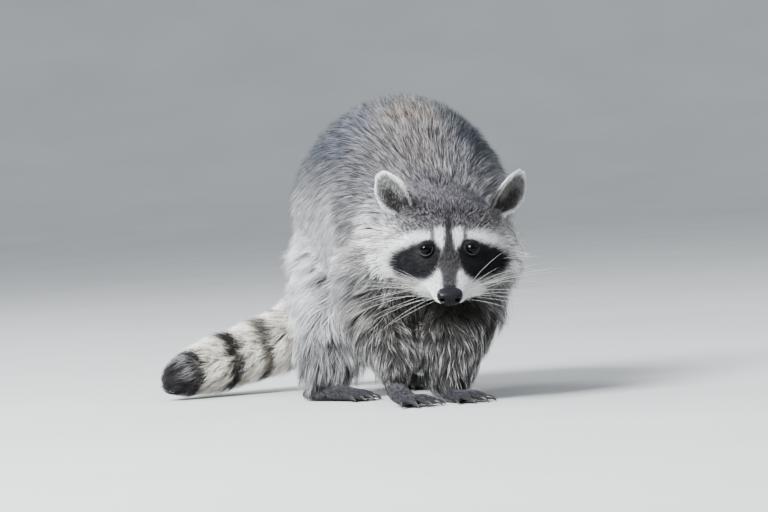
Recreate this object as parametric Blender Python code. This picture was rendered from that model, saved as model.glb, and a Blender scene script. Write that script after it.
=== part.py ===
"""A raccoon at life size, standing with an arched back, its head lowered and its tail laid on the floor.

Every solid gives the outer surface of the coat. The flesh is lofted from stations, joined by a voxel
remesh, smoothed, and parted by thin cuts into the head, jaw, neck, trunk, legs and tail. Ears, eyes,
nose and feet are pieces of their own. The stations are laid out with -Y along the animal's gaze, +X to
its left and the ground point under its eyes at X = Y = 0. At the end the whole is turned, so that the
trunk runs along Y, and moved, so that the origin is the middle of its box at floor level.
"""

import math

import bmesh
import bpy
import numpy as np
from mathutils import Matrix, Vector

MM = 0.001

# Attitude of the whole animal and of its head.
TRUNK_TURN = math.radians(-20)
GAZE_YAW = math.radians(-2)
GAZE_PITCH = math.radians(28)
GAZE_ROLL = math.radians(2)
EYE_HEIGHT = 156.5 * MM

# How the flesh is merged and parted.
GAP = 0.35 * MM
VOXEL = 4 * MM
SMOOTHING = 7
HEAD_TRIANGLES = 4000
BODY_TRIANGLES = 2400
LOFT_SIDES = 28
LOFT_STEPS = 5

# Stations: x, y, z of the centre, half width, reach up, reach down, all in mm.
TRUNK = (
    (-24, 46, 132, 20, 20, 20),
    (-24, 54, 133, 46, 46, 48),
    (-24, 80, 142, 74, 72, 70),
    (-20, 120, 158, 91, 86, 82),
    (-26, 180, 180, 101, 105, 98),
    (-38, 235, 196, 105, 119, 110),
    (-58, 285, 194, 102, 114, 110),
    (-84, 328, 176, 88, 96, 94),
    (-102, 357, 156, 58, 62, 64),
    (-110, 374, 148, 24, 24, 30),
)
NECK = (
    (-3, 40, 172, 52, 36, 40),
    (-8, 66, 176, 68, 46, 52),
    (-16, 98, 172, 80, 62, 60),
    (-22, 130, 168, 82, 70, 60),
)
TAIL = (
    (-106, 345, 160, 20, 20, 20),
    (-116, 360, 148, 32, 32, 32),
    (-128, 382, 118, 35, 35, 35),
    (-146, 394, 84, 38, 38, 38),
    (-178, 396, 58, 40, 40, 40),
    (-218, 383, 45, 38, 38, 38),
    (-254, 362, 35, 34, 34, 34),
    (-284, 338, 26, 28, 28, 26),
    (-300, 322, 20, 20, 20, 20),
    (-306, 316, 17, 9, 9, 9),
)

# The head's own frame: origin midway between the eyeballs, -Y along the muzzle, +X to its left.
HEAD = (
    (0, -53, -27, 9, 7, 8),
    (0, -48, -27, 14, 11, 11),
    (0, -38, -27, 19, 16, 15),
    (0, -25, -25, 24, 21, 20),
    (0, -12, -24, 31, 31, 25),
    (0, 2, -26, 45, 43, 30),
    (0, 18, -32, 64, 56, 34),
    (0, 36, -40, 78, 70, 36),
    (0, 54, -42, 83, 77, 38),
    (0, 72, -35, 78, 71, 40),
    (0, 90, -20, 62, 51, 38),
    (0, 102, -8, 34, 26, 26),
)
EYE_SPREAD = 22.6 * MM
EYE_RADIUS = 8 * MM
NOSE_CENTRE = (0, -53, -24)
NOSE_HALF = (12.2, 8.5, 8.6)
MOUTH_LEVEL = -37.5
JAW_BACK = 14
JAW_HALF_WIDTH = 30

EAR_ROOT_LEFT = (49, 45, 15.5)
EAR_ROOT_RIGHT = (-42, 45, 18.5)
EAR_HALF_WIDTH = 19
EAR_HALF_HEIGHT = 28.5
EAR_RISE = 23
EAR_THICKNESS = 4.2
EAR_CUP = 11
EAR_LEAN_LEFT = math.radians(46)
EAR_LEAN_RIGHT = math.radians(35)
EAR_TURN_LEFT = math.radians(34)
EAR_TURN_RIGHT = math.radians(-12)
EAR_SWEEP = math.radians(-8)

# Legs: stations from the shoulder or hip down to the wrist or ankle.
FRONT_LEG_RIGHT = (
    (-76, 112, 158, 20, 20, 20),
    (-78, 108, 142, 46, 46, 46),
    (-78, 98, 106, 44, 46, 42),
    (-71, 72, 76, 35, 37, 34),
    (-63, 44, 52, 25, 27, 24),
    (-59, 27, 34, 17, 18, 16),
    (-58, 22, 27, 12, 12, 10),
)
FRONT_LEG_LEFT = (
    (22, 112, 160, 20, 20, 20),
    (23, 106, 144, 51, 48, 48),
    (16, 94, 108, 50, 48, 44),
    (3, 76, 72, 38, 39, 34),
    (-6, 60, 42, 31, 31, 27),
    (-9, 50, 22, 24, 23, 20),
    (-10, 46, 13, 15, 14, 12),
)
HIND_LEG_RIGHT = (
    (-108, 322, 186, 20, 20, 20),
    (-112, 312, 166, 50, 50, 50),
    (-118, 278, 128, 55, 58, 54),
    (-124, 238, 88, 47, 48, 44),
    (-129, 208, 54, 38, 36, 33),
    (-135, 196, 28, 29, 28, 24),
    (-138, 191, 14, 18, 18, 16),
)
HIND_LEG_LEFT = (
    (-62, 336, 186, 20, 20, 20),
    (-58, 338, 166, 50, 50, 50),
    (-46, 330, 126, 54, 56, 54),
    (-42, 326, 88, 44, 46, 44),
    (-50, 334, 54, 34, 34, 31),
    (-57, 342, 28, 25, 25, 22),
    (-59, 344, 14, 16, 16, 14),
)

# Feet: ground point under the wrist or ankle, heading, and one entry for each toe as its place across
# the ball of the foot, its splay in degrees and its length in mm.
HAND_TOES = ((-10.5, -40, 19), (-6, -16, 25), (0, 2, 27), (6, 18, 25), (10.5, 42, 19))
FOOT_TOES = ((-11, -20, 18), (-6, -9, 23), (0, 0, 25), (6, 9, 23), (11, 22, 17))
TOE_ROOT = 4.8
TOE_TIP = 3.7
CLAW_LENGTH = 9.5
CLAW_ROOT = 1.9
CLAW_TIP = 0.5


def smooth(stations, steps):
    """Catmull-Rom values through the stations, with that many steps to a span."""
    rows = np.array(stations, float)
    padded = np.vstack([2 * rows[0] - rows[1], rows, 2 * rows[-1] - rows[-2]])
    found = []
    for i in range(len(rows) - 1):
        a, b, c, d = padded[i : i + 4]
        for t in np.arange(steps) / steps:
            found.append(
                0.5 * (2 * b + (c - a) * t + (2 * a - 5 * b + 4 * c - d) * t**2 + (3 * b - a - 3 * c + d) * t**3)
            )
    return np.array(found + [rows[-1]])


def new_object(name, mesh):
    made = bpy.data.objects.new(name, mesh)
    bpy.context.scene.collection.objects.link(made)
    return made


def mesh_from(name, points, faces):
    mesh = bpy.data.meshes.new(name)
    mesh.from_pydata([tuple(p) for p in points], [], faces)
    shell = bmesh.new()
    shell.from_mesh(mesh)
    bmesh.ops.recalc_face_normals(shell, faces=shell.faces)
    shell.to_mesh(mesh)
    shell.free()
    return mesh


def loft(name, stations, up, sides=LOFT_SIDES, steps=LOFT_STEPS, matrix=None):
    """A closed tube of oval rings square to the path through the stations."""
    rows = smooth(stations, steps)
    centres = rows[:, :3]
    along = np.gradient(centres, axis=0)
    along /= np.linalg.norm(along, axis=1)[:, None]
    turns = np.arange(sides) / sides * 2 * math.pi
    points, faces = [], []
    for centre, forward, (half, top, bottom) in zip(centres, along, rows[:, 3:]):
        side = np.cross(forward, up)
        side /= np.linalg.norm(side)
        rise = np.cross(side, forward)
        for turn in turns:
            reach = top if math.sin(turn) > 0 else bottom
            points.append(centre + side * half * math.cos(turn) + rise * reach * math.sin(turn))
    count = len(centres)
    for ring in range(count - 1):
        for i in range(sides):
            j = (i + 1) % sides
            faces.append([ring * sides + i, ring * sides + j, (ring + 1) * sides + j, (ring + 1) * sides + i])
    faces.append(list(range(sides)))
    faces.append([(count - 1) * sides + i for i in range(sides)])
    made = new_object(name, mesh_from(name, np.array(points) * MM, faces))
    if matrix is not None:
        made.data.transform(matrix)
    return made


def bake(solid):
    """The object's modifiers become its mesh."""
    bpy.context.view_layer.update()
    graph = bpy.context.evaluated_depsgraph_get()
    mesh = bpy.data.meshes.new_from_object(solid.evaluated_get(graph))
    old = solid.data
    solid.modifiers.clear()
    solid.data = mesh
    bpy.data.meshes.remove(old)
    return solid


def boolean(solid, tool, operation, keep_tool=False):
    step = solid.modifiers.new(operation, "BOOLEAN")
    step.operation = operation
    step.solver = "EXACT"
    step.object = tool
    bake(solid)
    if not keep_tool:
        bpy.data.objects.remove(tool)
    return solid


def copy_of(solid, name):
    return new_object(name, solid.data.copy())


def keep_largest(solid):
    """Drops the slivers that a parting cut can leave beside the main piece."""
    shell = bmesh.new()
    shell.from_mesh(solid.data)
    left, groups = set(shell.verts), []
    while left:
        grown, edge = set(), [left.pop()]
        while edge:
            point = edge.pop()
            grown.add(point)
            for link in point.link_edges:
                other = link.other_vert(point)
                if other in left:
                    left.remove(other)
                    edge.append(other)
        groups.append(grown)
    groups.sort(key=len)
    for group in groups[:-1]:
        bmesh.ops.delete(shell, geom=list(group), context="VERTS")
    shell.to_mesh(solid.data)
    shell.free()
    return solid


def block(name, low, high, matrix):
    """A box between two corners given in mm in the frame of matrix."""
    shell = bmesh.new()
    bmesh.ops.create_cube(shell, size=1)
    low, high = Vector(low) * MM, Vector(high) * MM
    for vert in shell.verts:
        vert.co = Vector(low[i] if vert.co[i] < 0 else high[i] for i in range(3))
    mesh = bpy.data.meshes.new(name)
    shell.to_mesh(mesh)
    shell.free()
    mesh.transform(matrix)
    return new_object(name, mesh)


def part_off(name, source, rest, low, high, matrix):
    """The share of source inside a box becomes a node. The box, wider by GAP, is taken out of rest."""
    piece = keep_largest(boolean(copy_of(source, name), block("cut", low, high, matrix), "INTERSECT"))
    slack = GAP / MM
    wide_low = [value - slack for value in low]
    wide_high = [value + slack for value in high]
    boolean(rest, block("cut", wide_low, wide_high, matrix), "DIFFERENCE")
    return piece


def swollen(solid):
    """A copy pushed out along its normals by a little more than GAP."""
    made = copy_of(solid, "swollen")
    push = made.modifiers.new("Push", "DISPLACE")
    push.strength = GAP * 1.4
    push.mid_level = 0
    return bake(made)


def place(x, y, z, yaw=0.0, pitch=0.0, roll=0.0):
    """A frame at a point in mm, turned by yaw about Z, then pitch about X, then roll about Y, in degrees."""
    turn = (
        Matrix.Rotation(math.radians(yaw), 4, "Z")
        @ Matrix.Rotation(math.radians(pitch), 4, "X")
        @ Matrix.Rotation(math.radians(roll), 4, "Y")
    )
    return Matrix.Translation(Vector((x, y, z)) * MM) @ turn


def head_frame():
    tilt = Matrix.Rotation(GAZE_PITCH, 4, "X") @ Matrix.Rotation(GAZE_ROLL, 4, "Y")
    return Matrix.Translation((0, 0, EYE_HEIGHT)) @ Matrix.Rotation(GAZE_YAW, 4, "Z") @ tilt


def merged_flesh():
    """Trunk, neck, head, legs and tail as one smooth closed surface."""
    up, ahead = (0, 0, 1), (0, -1, 0)
    lofts = [
        loft("trunk", TRUNK, up),
        loft("neck", NECK, up),
        loft("head", HEAD, up, matrix=head_frame()),
        loft("tail", TAIL, up),
    ]
    for name, stations in (
        ("front_right", FRONT_LEG_RIGHT),
        ("front_left", FRONT_LEG_LEFT),
        ("hind_right", HIND_LEG_RIGHT),
        ("hind_left", HIND_LEG_LEFT),
    ):
        lofts.append(loft(name, stations, ahead))
    shell = bmesh.new()
    for piece in lofts:
        shell.from_mesh(piece.data)
        bpy.data.objects.remove(piece)
    mesh = bpy.data.meshes.new("flesh")
    shell.to_mesh(mesh)
    shell.free()
    flesh = new_object("flesh", mesh)
    merge = flesh.modifiers.new("Merge", "REMESH")
    merge.mode = "VOXEL"
    merge.voxel_size = VOXEL
    even = flesh.modifiers.new("Even", "SMOOTH")
    even.factor = 0.5
    even.iterations = SMOOTHING
    return bake(flesh)


def thinned(solid, name, triangles):
    made = copy_of(solid, name)
    made.data.calc_loop_triangles()
    thin = made.modifiers.new("Thin", "DECIMATE")
    thin.ratio = triangles / len(made.data.loop_triangles)
    return bake(made)


def ellipsoid(name, centre, half, matrix, segments=20, rings=12, grow=0.0):
    shell = bmesh.new()
    bmesh.ops.create_uvsphere(shell, u_segments=segments, v_segments=rings, radius=1)
    bmesh.ops.triangulate(shell, faces=shell.faces)
    size = Matrix.Diagonal([*((value + grow) * MM for value in half), 1])
    bmesh.ops.transform(shell, matrix=Matrix.Translation(Vector(centre) * MM) @ size, verts=shell.verts)
    mesh = bpy.data.meshes.new(name)
    shell.to_mesh(mesh)
    shell.free()
    mesh.transform(matrix)
    return new_object(name, mesh)


def ear(name, side, grow=0.0):
    """A rounded leaf, hollow in front: a flat ellipsoid bent into a cup. side is 1 for left, -1 for right."""
    half = (EAR_HALF_WIDTH, EAR_THICKNESS, EAR_HALF_HEIGHT)
    leaf = ellipsoid(name, (0, 0, 0), half, Matrix(), 14, 9, grow)
    for vert in leaf.data.vertices:
        across = vert.co.x / ((EAR_HALF_WIDTH + grow) * MM)
        height = vert.co.z / ((EAR_HALF_HEIGHT + grow) * MM)
        vert.co.x *= 1 - 0.12 * height
        vert.co.y -= EAR_CUP * MM * (across**2 * (0.75 - 0.25 * height) - 0.2 * (1 - height))
    leaf.data.transform(Matrix.Translation((0, 0, EAR_RISE * MM)))
    turn = (
        Matrix.Rotation(EAR_TURN_LEFT if side > 0 else EAR_TURN_RIGHT, 4, "Z")
        @ Matrix.Rotation(EAR_SWEEP, 4, "X")
        @ Matrix.Rotation(EAR_LEAN_LEFT if side > 0 else -EAR_LEAN_RIGHT, 4, "Y")
    )
    root = Matrix.Translation(Vector(EAR_ROOT_LEFT if side > 0 else EAR_ROOT_RIGHT) * MM)
    leaf.data.transform(head_frame() @ root @ turn)
    return leaf


def toe_stations(across, splay, length, ball, knuckle):
    """A toe that leaves the ball of the foot, rises to its knuckle and comes down on its tip."""
    turn = math.radians(splay)
    ahead = np.array((math.sin(turn), -math.cos(turn), 0))
    root = np.array((across, ball, 0))
    steps = ((-9, 7.5, TOE_ROOT), (0.25 * length, knuckle, TOE_ROOT), (0.72 * length, 6, TOE_ROOT * 0.9))
    rows = [(*(root + ahead * reach + (0, 0, level)), thick, thick, thick) for reach, level, thick in steps]
    tip = root + ahead * length
    rows.append((*(tip + (0, 0, 3.4)), TOE_TIP, TOE_TIP, TOE_TIP))
    rows.append((*(tip + ahead * 3 + (0, 0, 3.0)), TOE_TIP * 0.45, TOE_TIP * 0.45, TOE_TIP * 0.45))
    claw = (
        (*(tip + (0, 0, 4.2)), CLAW_ROOT, CLAW_ROOT, CLAW_ROOT),
        (*(tip + ahead * 0.55 * CLAW_LENGTH + (0, 0, 4.6)), CLAW_ROOT * 0.8, CLAW_ROOT * 0.8, CLAW_ROOT * 0.8),
        (*(tip + ahead * CLAW_LENGTH + (0, 0, 1.6)), CLAW_TIP, CLAW_TIP, CLAW_TIP),
    )
    return rows, claw


def foot(name, palm, toes, ball, knuckle, matrix):
    """Palm or sole with five toes and their claws, joined into one solid."""
    up = (0, 0, 1)
    made = loft(name, palm, up, 9, 2)
    for across, splay, length in toes:
        flesh, claw = toe_stations(across, splay, length, ball, knuckle)
        boolean(made, loft("toe", flesh, up, 6, 1), "UNION")
        boolean(made, loft("claw", claw, up, 3, 1), "UNION")
    made.data.transform(matrix)
    return made


HAND_PALM = (
    (0, 9, 34, 8, 8, 8),
    (0, 5, 27, 10, 9, 9),
    (0, -3, 15, 12, 9, 11),
    (0, -14, 8, 14.5, 7, 9),
    (0, -23, 7, 14, 5.5, 8),
    (0, -29, 6, 10, 4, 6),
)
FOOT_SOLE = (
    (0, 12, 16, 6, 8, 10),
    (0, 7, 13, 10, 12, 14),
    (0, -8, 11, 12, 11, 12),
    (0, -28, 9, 13, 9, 10),
    (0, -46, 8, 15.5, 7, 9),
    (0, -56, 7, 14, 5.5, 8),
    (0, -62, 6, 9, 4, 6),
)


def head_pieces(fine, rest):
    """Head, jaw, ears, eyes and nose."""
    frame = head_frame()
    neck_cut = place(0, 58, 164, math.degrees(GAZE_YAW), -20)
    head = part_off("head", fine, rest, (-130, -140, -88), (130, 0, 100), neck_cut)
    slack = GAP / MM
    pieces = []
    for side, word in ((1, "left"), (-1, "right")):
        pieces.append(ear("ear_" + word, side))
        boolean(head, ear("cut", side, slack), "DIFFERENCE")
        spot = (side * EYE_SPREAD / MM, 0, 0)
        ball = (EYE_RADIUS / MM,) * 3
        pieces.append(ellipsoid("eye_" + word, spot, ball, frame, 12, 8))
        boolean(head, ellipsoid("cut", spot, ball, frame, 12, 8, slack), "DIFFERENCE")
    pieces.append(ellipsoid("nose", NOSE_CENTRE, NOSE_HALF, frame, 14, 8))
    boolean(head, ellipsoid("cut", NOSE_CENTRE, NOSE_HALF, frame, 14, 8, slack), "DIFFERENCE")
    low = (-JAW_HALF_WIDTH, -90, MOUTH_LEVEL - 60)
    high = (JAW_HALF_WIDTH, JAW_BACK, MOUTH_LEVEL)
    pieces.append(part_off("jaw", head, head, low, high, frame))
    keep_largest(head)
    return [head, *pieces]


def leg_pieces(body):
    """The four legs, each with its foot."""
    pieces = []
    for name, low, high, cut, spot, palm, toes, ball, knuckle in (
        ("front_right", (-64, -110, -140), (44, 45, 0), place(-80, 90, 106, 0, 14),
         place(-59, 25, 0, 38), HAND_PALM, HAND_TOES, -21, 9),
        ("front_left", (-58, -110, -140), (64, 45, 0), place(22, 90, 106, 0, 14),
         place(-9, 48, 0, 46), HAND_PALM, HAND_TOES, -21, 9),
        ("hind_right", (-75, -110, -140), (42, 66, 0), place(-128, 262, 118, 32, 10),
         place(-142, 190, 0, 46), FOOT_SOLE, FOOT_TOES, -50, 8),
        ("hind_left", (-40, -80, -140), (75, 66, 0), place(-40, 322, 116, 30, 0),
         place(-60, 346, 0, 30), FOOT_SOLE, FOOT_TOES, -50, 8),
    ):  # fmt: skip
        leg = part_off(name + "_leg", body, body, low, high, cut)
        kind = "_paw" if name.startswith("front") else "_foot"
        paw = foot(name + kind, palm, toes, ball, knuckle, spot)
        keep_largest(boolean(leg, swollen(paw), "DIFFERENCE"))
        pieces += [leg, paw]
    return pieces


def tail_pieces(body):
    """The tail in three lengths, parted square to its run."""
    tip = part_off("tail_tip", body, body, (-80, -60, -60), (0, 60, 60), place(-262, 362, 31, 30))
    middle = part_off("tail_middle", body, body, (-110, -60, -60), (0, 60, 60), place(-198, 393, 42, 14))
    base = part_off("tail_base", body, body, (-60, -52, -130), (48, 60, 0), place(-142, 388, 116, 8))
    return [base, middle, tip]


def finish_floor(pieces):
    """Flat contact at one level under the feet and the tail."""
    for piece in pieces:
        lowest = min(vert.co.z for vert in piece.data.vertices)
        if lowest < 0:
            slab = block("floor", (-900, -900, -200), (900, 900, 0), Matrix())
            keep_largest(boolean(piece, slab, "DIFFERENCE"))


COLOURS = {
    "head": (0.42, 0.41, 0.40, 1),
    "jaw": (0.80, 0.79, 0.76, 1),
    "nose": (0.02, 0.02, 0.022, 1),
    "eye": (0.01, 0.01, 0.012, 1),
    "ear": (0.62, 0.61, 0.58, 1),
    "neck": (0.36, 0.35, 0.34, 1),
    "trunk": (0.30, 0.29, 0.28, 1),
    "tail": (0.45, 0.41, 0.34, 1),
    "front": (0.33, 0.32, 0.31, 1),
    "hind": (0.33, 0.32, 0.31, 1),
    "paw": (0.10, 0.095, 0.10, 1),
    "foot": (0.10, 0.095, 0.10, 1),
}


def coloured(piece):
    words = piece.name.split("_")
    key = words[-1] if words[-1] in COLOURS else words[0]
    paint = bpy.data.materials.new(piece.name)
    paint.use_nodes = True
    shader = paint.node_tree.nodes["Principled BSDF"]
    shader.inputs["Base Color"].default_value = COLOURS[key]
    shader.inputs["Roughness"].default_value = 0.25 if key in ("nose", "eye") else 0.85
    piece.data.materials.clear()
    piece.data.materials.append(paint)
    piece.data.shade_smooth()
    piece.data.set_sharp_from_angle(angle=math.radians(50))


def main():
    for old in list(bpy.data.objects):
        bpy.data.objects.remove(old)
    flesh = merged_flesh()
    fine = thinned(flesh, "fine", HEAD_TRIANGLES)
    body = thinned(flesh, "trunk", BODY_TRIANGLES)
    bpy.data.objects.remove(flesh)
    legs = leg_pieces(body)
    tail = tail_pieces(body)
    head = head_pieces(fine, body)
    bpy.data.objects.remove(fine)
    neck = part_off("neck", body, body, (-130, -120, -100), (130, 0, 120), place(-16, 104, 172, -6, -24))
    pieces = [*head, neck, keep_largest(body), *legs, *tail]
    finish_floor(pieces)
    turn = Matrix.Rotation(TRUNK_TURN, 4, "Z")
    corners = np.array([turn @ vert.co for piece in pieces for vert in piece.data.vertices])
    middle = (corners.min(axis=0) + corners.max(axis=0)) / 2
    stance = bpy.data.objects.new("stance", None)
    bpy.context.scene.collection.objects.link(stance)
    stance.location = (-middle[0], -middle[1], -corners[:, 2].min())
    stance.rotation_euler.z = TRUNK_TURN
    for piece in pieces:
        coloured(piece)
        piece.parent = stance


main()
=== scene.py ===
import math

import bmesh
import bpy
import numpy as np
from mathutils import Matrix, Vector
from mathutils.bvhtree import BVHTree
from mathutils.kdtree import KDTree


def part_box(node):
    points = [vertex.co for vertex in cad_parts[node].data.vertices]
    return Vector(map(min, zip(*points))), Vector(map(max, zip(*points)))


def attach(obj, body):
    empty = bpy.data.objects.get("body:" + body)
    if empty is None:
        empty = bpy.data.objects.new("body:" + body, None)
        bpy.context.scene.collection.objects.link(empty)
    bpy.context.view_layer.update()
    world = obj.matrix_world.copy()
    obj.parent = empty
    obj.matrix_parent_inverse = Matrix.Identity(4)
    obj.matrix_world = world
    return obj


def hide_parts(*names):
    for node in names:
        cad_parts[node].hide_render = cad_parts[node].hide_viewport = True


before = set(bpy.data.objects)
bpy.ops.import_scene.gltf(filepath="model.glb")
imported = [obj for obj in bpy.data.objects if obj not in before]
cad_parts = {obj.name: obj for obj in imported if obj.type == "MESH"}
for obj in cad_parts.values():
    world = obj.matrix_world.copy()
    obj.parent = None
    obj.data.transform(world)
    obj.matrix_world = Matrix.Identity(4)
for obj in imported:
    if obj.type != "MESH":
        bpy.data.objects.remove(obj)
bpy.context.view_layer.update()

# --- How the raccoon stands ---------------------------------------------------------------------------
# Places are told in millimetres of two frames. In stance, -Y is the way the raccoon looks, +X is its left
# and Z is 0 on the floor. skull starts midway between the eyeballs, with -Y along the muzzle. Each ear has
# a frame of its own: +Z from its root to its tip, -Y out of its hollow.

MM = 0.001
gaze_turn, eye_height = math.radians(-20), 0.1565
gaze = Matrix.Rotation(gaze_turn, 4, "Z")
eye_places = [sum(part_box("eye_" + side), Vector()) / 2 for side in ("right", "left")]
eyes_middle = (eye_places[0] + eye_places[1]) / 2
stance = Matrix.Translation(eyes_middle - gaze @ Vector((0, 0, eye_height))) @ gaze
nod = Matrix.Rotation(math.radians(-2), 4, "Z") @ Matrix.Rotation(math.radians(28), 4, "X")
skull = Matrix.Translation(eyes_middle) @ gaze @ nod @ Matrix.Rotation(math.radians(2), 4, "Y")

ear_half_width, ear_half_height, ear_rise = 19, 28.5, 23
ear_frames = {}
for side, root, turned, lean in ((-1, (-42, 45, 18.5), -12, -35), (1, (49, 45, 15.5), 34, 46)):
    ear_frames[side] = skull @ Matrix.Translation(Vector(root) * MM)
    for angle, axis in ((turned, "Z"), (-8, "X"), (lean, "Y")):
        ear_frames[side] = ear_frames[side] @ Matrix.Rotation(math.radians(angle), 4, axis)


def told_in(matrix, points):
    """World points in millimetres of that frame."""
    back = np.array(matrix.inverted())
    return (points @ back[:3, :3].T + back[:3, 3]) / MM


def placed(matrix, rows):
    """Places in millimetres of that frame as world points."""
    turn = np.array(matrix)
    return np.asarray(rows, float) * MM @ turn[:3, :3].T + turn[:3, 3]


def pointed(matrix, rows):
    """Directions in that frame as world directions."""
    return np.asarray(rows, float) @ np.array(matrix)[:3, :3].T


def unit(rows):
    """Directions of length one."""
    return rows / np.maximum(np.linalg.norm(rows, axis=-1, keepdims=True), 1e-9)


def ease(low, high, values):
    """A soft step: 0 on low's side, 1 on high's side. low may be the larger of the two."""
    t = np.clip((values - low) / (high - low), 0, 1)
    return t * t * (3 - 2 * t)


# --- Camera -------------------------------------------------------------------------------------------
# A long lens near the floor looks the raccoon in the face. The body stands half turned away behind its
# head, and the view tips a little to one side.

view_away, view_width = 4.0, 768 * MM
view_rise, view_tip = math.radians(1.5), math.radians(3)
backward = Vector((math.sin(gaze_turn) * math.cos(view_rise), -math.cos(gaze_turn) * math.cos(view_rise),
                   math.sin(view_rise)))
look = (-backward).to_track_quat("-Z", "Y") @ Matrix.Rotation(-view_tip, 3, "Z").to_quaternion()
camera = bpy.data.objects.new("camera", bpy.data.cameras.new("camera"))
bpy.context.scene.collection.objects.link(camera)
camera.data.sensor_width = 36
camera.data.lens = view_away * camera.data.sensor_width / view_width
camera.rotation_mode = "QUATERNION"
camera.rotation_quaternion = look
camera.location = eyes_middle + backward * view_away + look @ Vector((-65 * MM, -7 * MM, 0))
camera.data.clip_start, camera.data.clip_end = 0.1, 100
bpy.context.scene.camera = camera

# --- Floor and light ----------------------------------------------------------------------------------
# A wide pale dish: a flat floor that curves up into a low wall far away on every side, so that no edge
# shows. A large soft lamp stands high in front and to the right of the raccoon, a dim one on its left and
# one behind it, under a pale sky.


def new_object(name, mesh):
    """A piece of that mesh, standing in the scene."""
    made = bpy.data.objects.new(name, mesh)
    bpy.context.scene.collection.objects.link(made)
    return made


def mesh_of(name, points, faces):
    """A smooth mesh of those points and faces."""
    mesh = bpy.data.meshes.new(name)
    mesh.from_pydata(np.asarray(points).tolist(), [], [list(map(int, face)) for face in faces])
    mesh.shade_smooth()
    return mesh


class Wire:
    """A node's output that takes part in sums. Its operators add Math and Vector Math nodes."""

    def __init__(self, socket):
        self.socket = socket

    @staticmethod
    def node(tree, kind, sockets=(), stops=None, out=0, **settings):
        """Adds a node, with its settings first, then the values or links of its sockets."""
        made = tree.nodes.new(kind)
        for key, value in settings.items():
            setattr(made, key, value)
        if stops is not None:
            ramp = made.color_ramp.elements
            while len(ramp) < len(stops):
                ramp.new(0.5)
            for element, (place, colour) in zip(ramp, stops):
                element.position, element.color = place, colour
        for key, value in dict(sockets).items():
            if isinstance(value, Wire):
                tree.links.new(value.socket, made.inputs[key])
            else:
                made.inputs[key].default_value = value
        return Wire(made.outputs[out])

    def _sum(self, operation, first, second):
        """One step of a sum, as a node for numbers or for vectors."""
        tree = self.socket.id_data
        many = any(isinstance(v, Wire) and v.socket.type == "VECTOR" for v in (first, second))
        if not many:
            return Wire.node(tree, "ShaderNodeMath", {0: first, 1: second}, operation=operation)
        if operation == "MULTIPLY" and not (
            isinstance(first, Wire) and isinstance(second, Wire) and first.socket.type == second.socket.type
        ):
            vector, number = (first, second) if self._is_vector(first) else (second, first)
            return Wire.node(tree, "ShaderNodeVectorMath", {0: vector, "Scale": number}, operation="SCALE")
        return Wire.node(tree, "ShaderNodeVectorMath", {0: first, 1: second}, operation=operation)

    @staticmethod
    def _is_vector(value):
        return isinstance(value, Wire) and value.socket.type == "VECTOR"

    def __add__(self, other):
        return self._sum("ADD", self, other)

    def __radd__(self, other):
        return self._sum("ADD", other, self)

    def __sub__(self, other):
        return self._sum("SUBTRACT", self, other)

    def __rsub__(self, other):
        return self._sum("SUBTRACT", other, self)

    def __mul__(self, other):
        return self._sum("MULTIPLY", self, other)


def finish(name, **constants):
    """A material with its constant sockets set; returns it, its tree and its shader."""
    material = bpy.data.materials.new(name)
    material.use_nodes = True
    shader = material.node_tree.nodes["Principled BSDF"]
    for key, value in constants.items():
        shader.inputs[key.replace("_", " ")].default_value = value
    return material, material.node_tree, shader


def wired(shader, **wires):
    """Feeds sockets of a shader with what changes over the surface."""
    for key, wire in wires.items():
        shader.id_data.links.new(wire.socket, shader.inputs[key.replace("_", " ")])


def grain(tree, scale, detail, **more):
    """Noise that stays with the piece, with that many grains to the metre."""
    spot = Wire.node(tree, "ShaderNodeTexCoord", out="Object")
    return Wire.node(tree, "ShaderNodeTexNoise", {"Vector": spot, "Scale": scale, "Detail": detail, **more})


dish_flat, dish_wall, dish_sides, wall_steps = 9.0, 5.0, 64, 12
profile = [(1.0, 0.0), (4.0, 0.0), (dish_flat, 0.0)]
for step in range(1, wall_steps + 1):
    turn = step / wall_steps * math.pi / 2
    profile.append((dish_flat + dish_wall * math.sin(turn), dish_wall * (1 - math.cos(turn))))
dish_points, dish_faces = [], []
for reach, height in profile:
    for side in range(dish_sides):
        turn = side / dish_sides * 2 * math.pi
        dish_points.append((reach * math.cos(turn), reach * math.sin(turn), height))
dish_points.append((0, 0, 0))
for side in range(dish_sides):
    other = (side + 1) % dish_sides
    dish_faces.append((len(dish_points) - 1, side, other))
    for ring in range(len(profile) - 1):
        low, high = ring * dish_sides, (ring + 1) * dish_sides
        dish_faces.append((low + side, high + side, high + other, low + other))
floor = new_object("floor", mesh_of("floor", dish_points, dish_faces))
floor_paint, tree, shader = finish("floor_paint", Roughness=0.9)
tone = Wire.node(tree, "ShaderNodeValToRGB", {0: grain(tree, 3.0, 3.0)},
                 stops=[(0.3, (0.45, 0.45, 0.445, 1)), (0.7, (0.49, 0.49, 0.485, 1))])
wired(shader, Base_Color=tone)
floor.data.materials.append(floor_paint)

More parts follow.
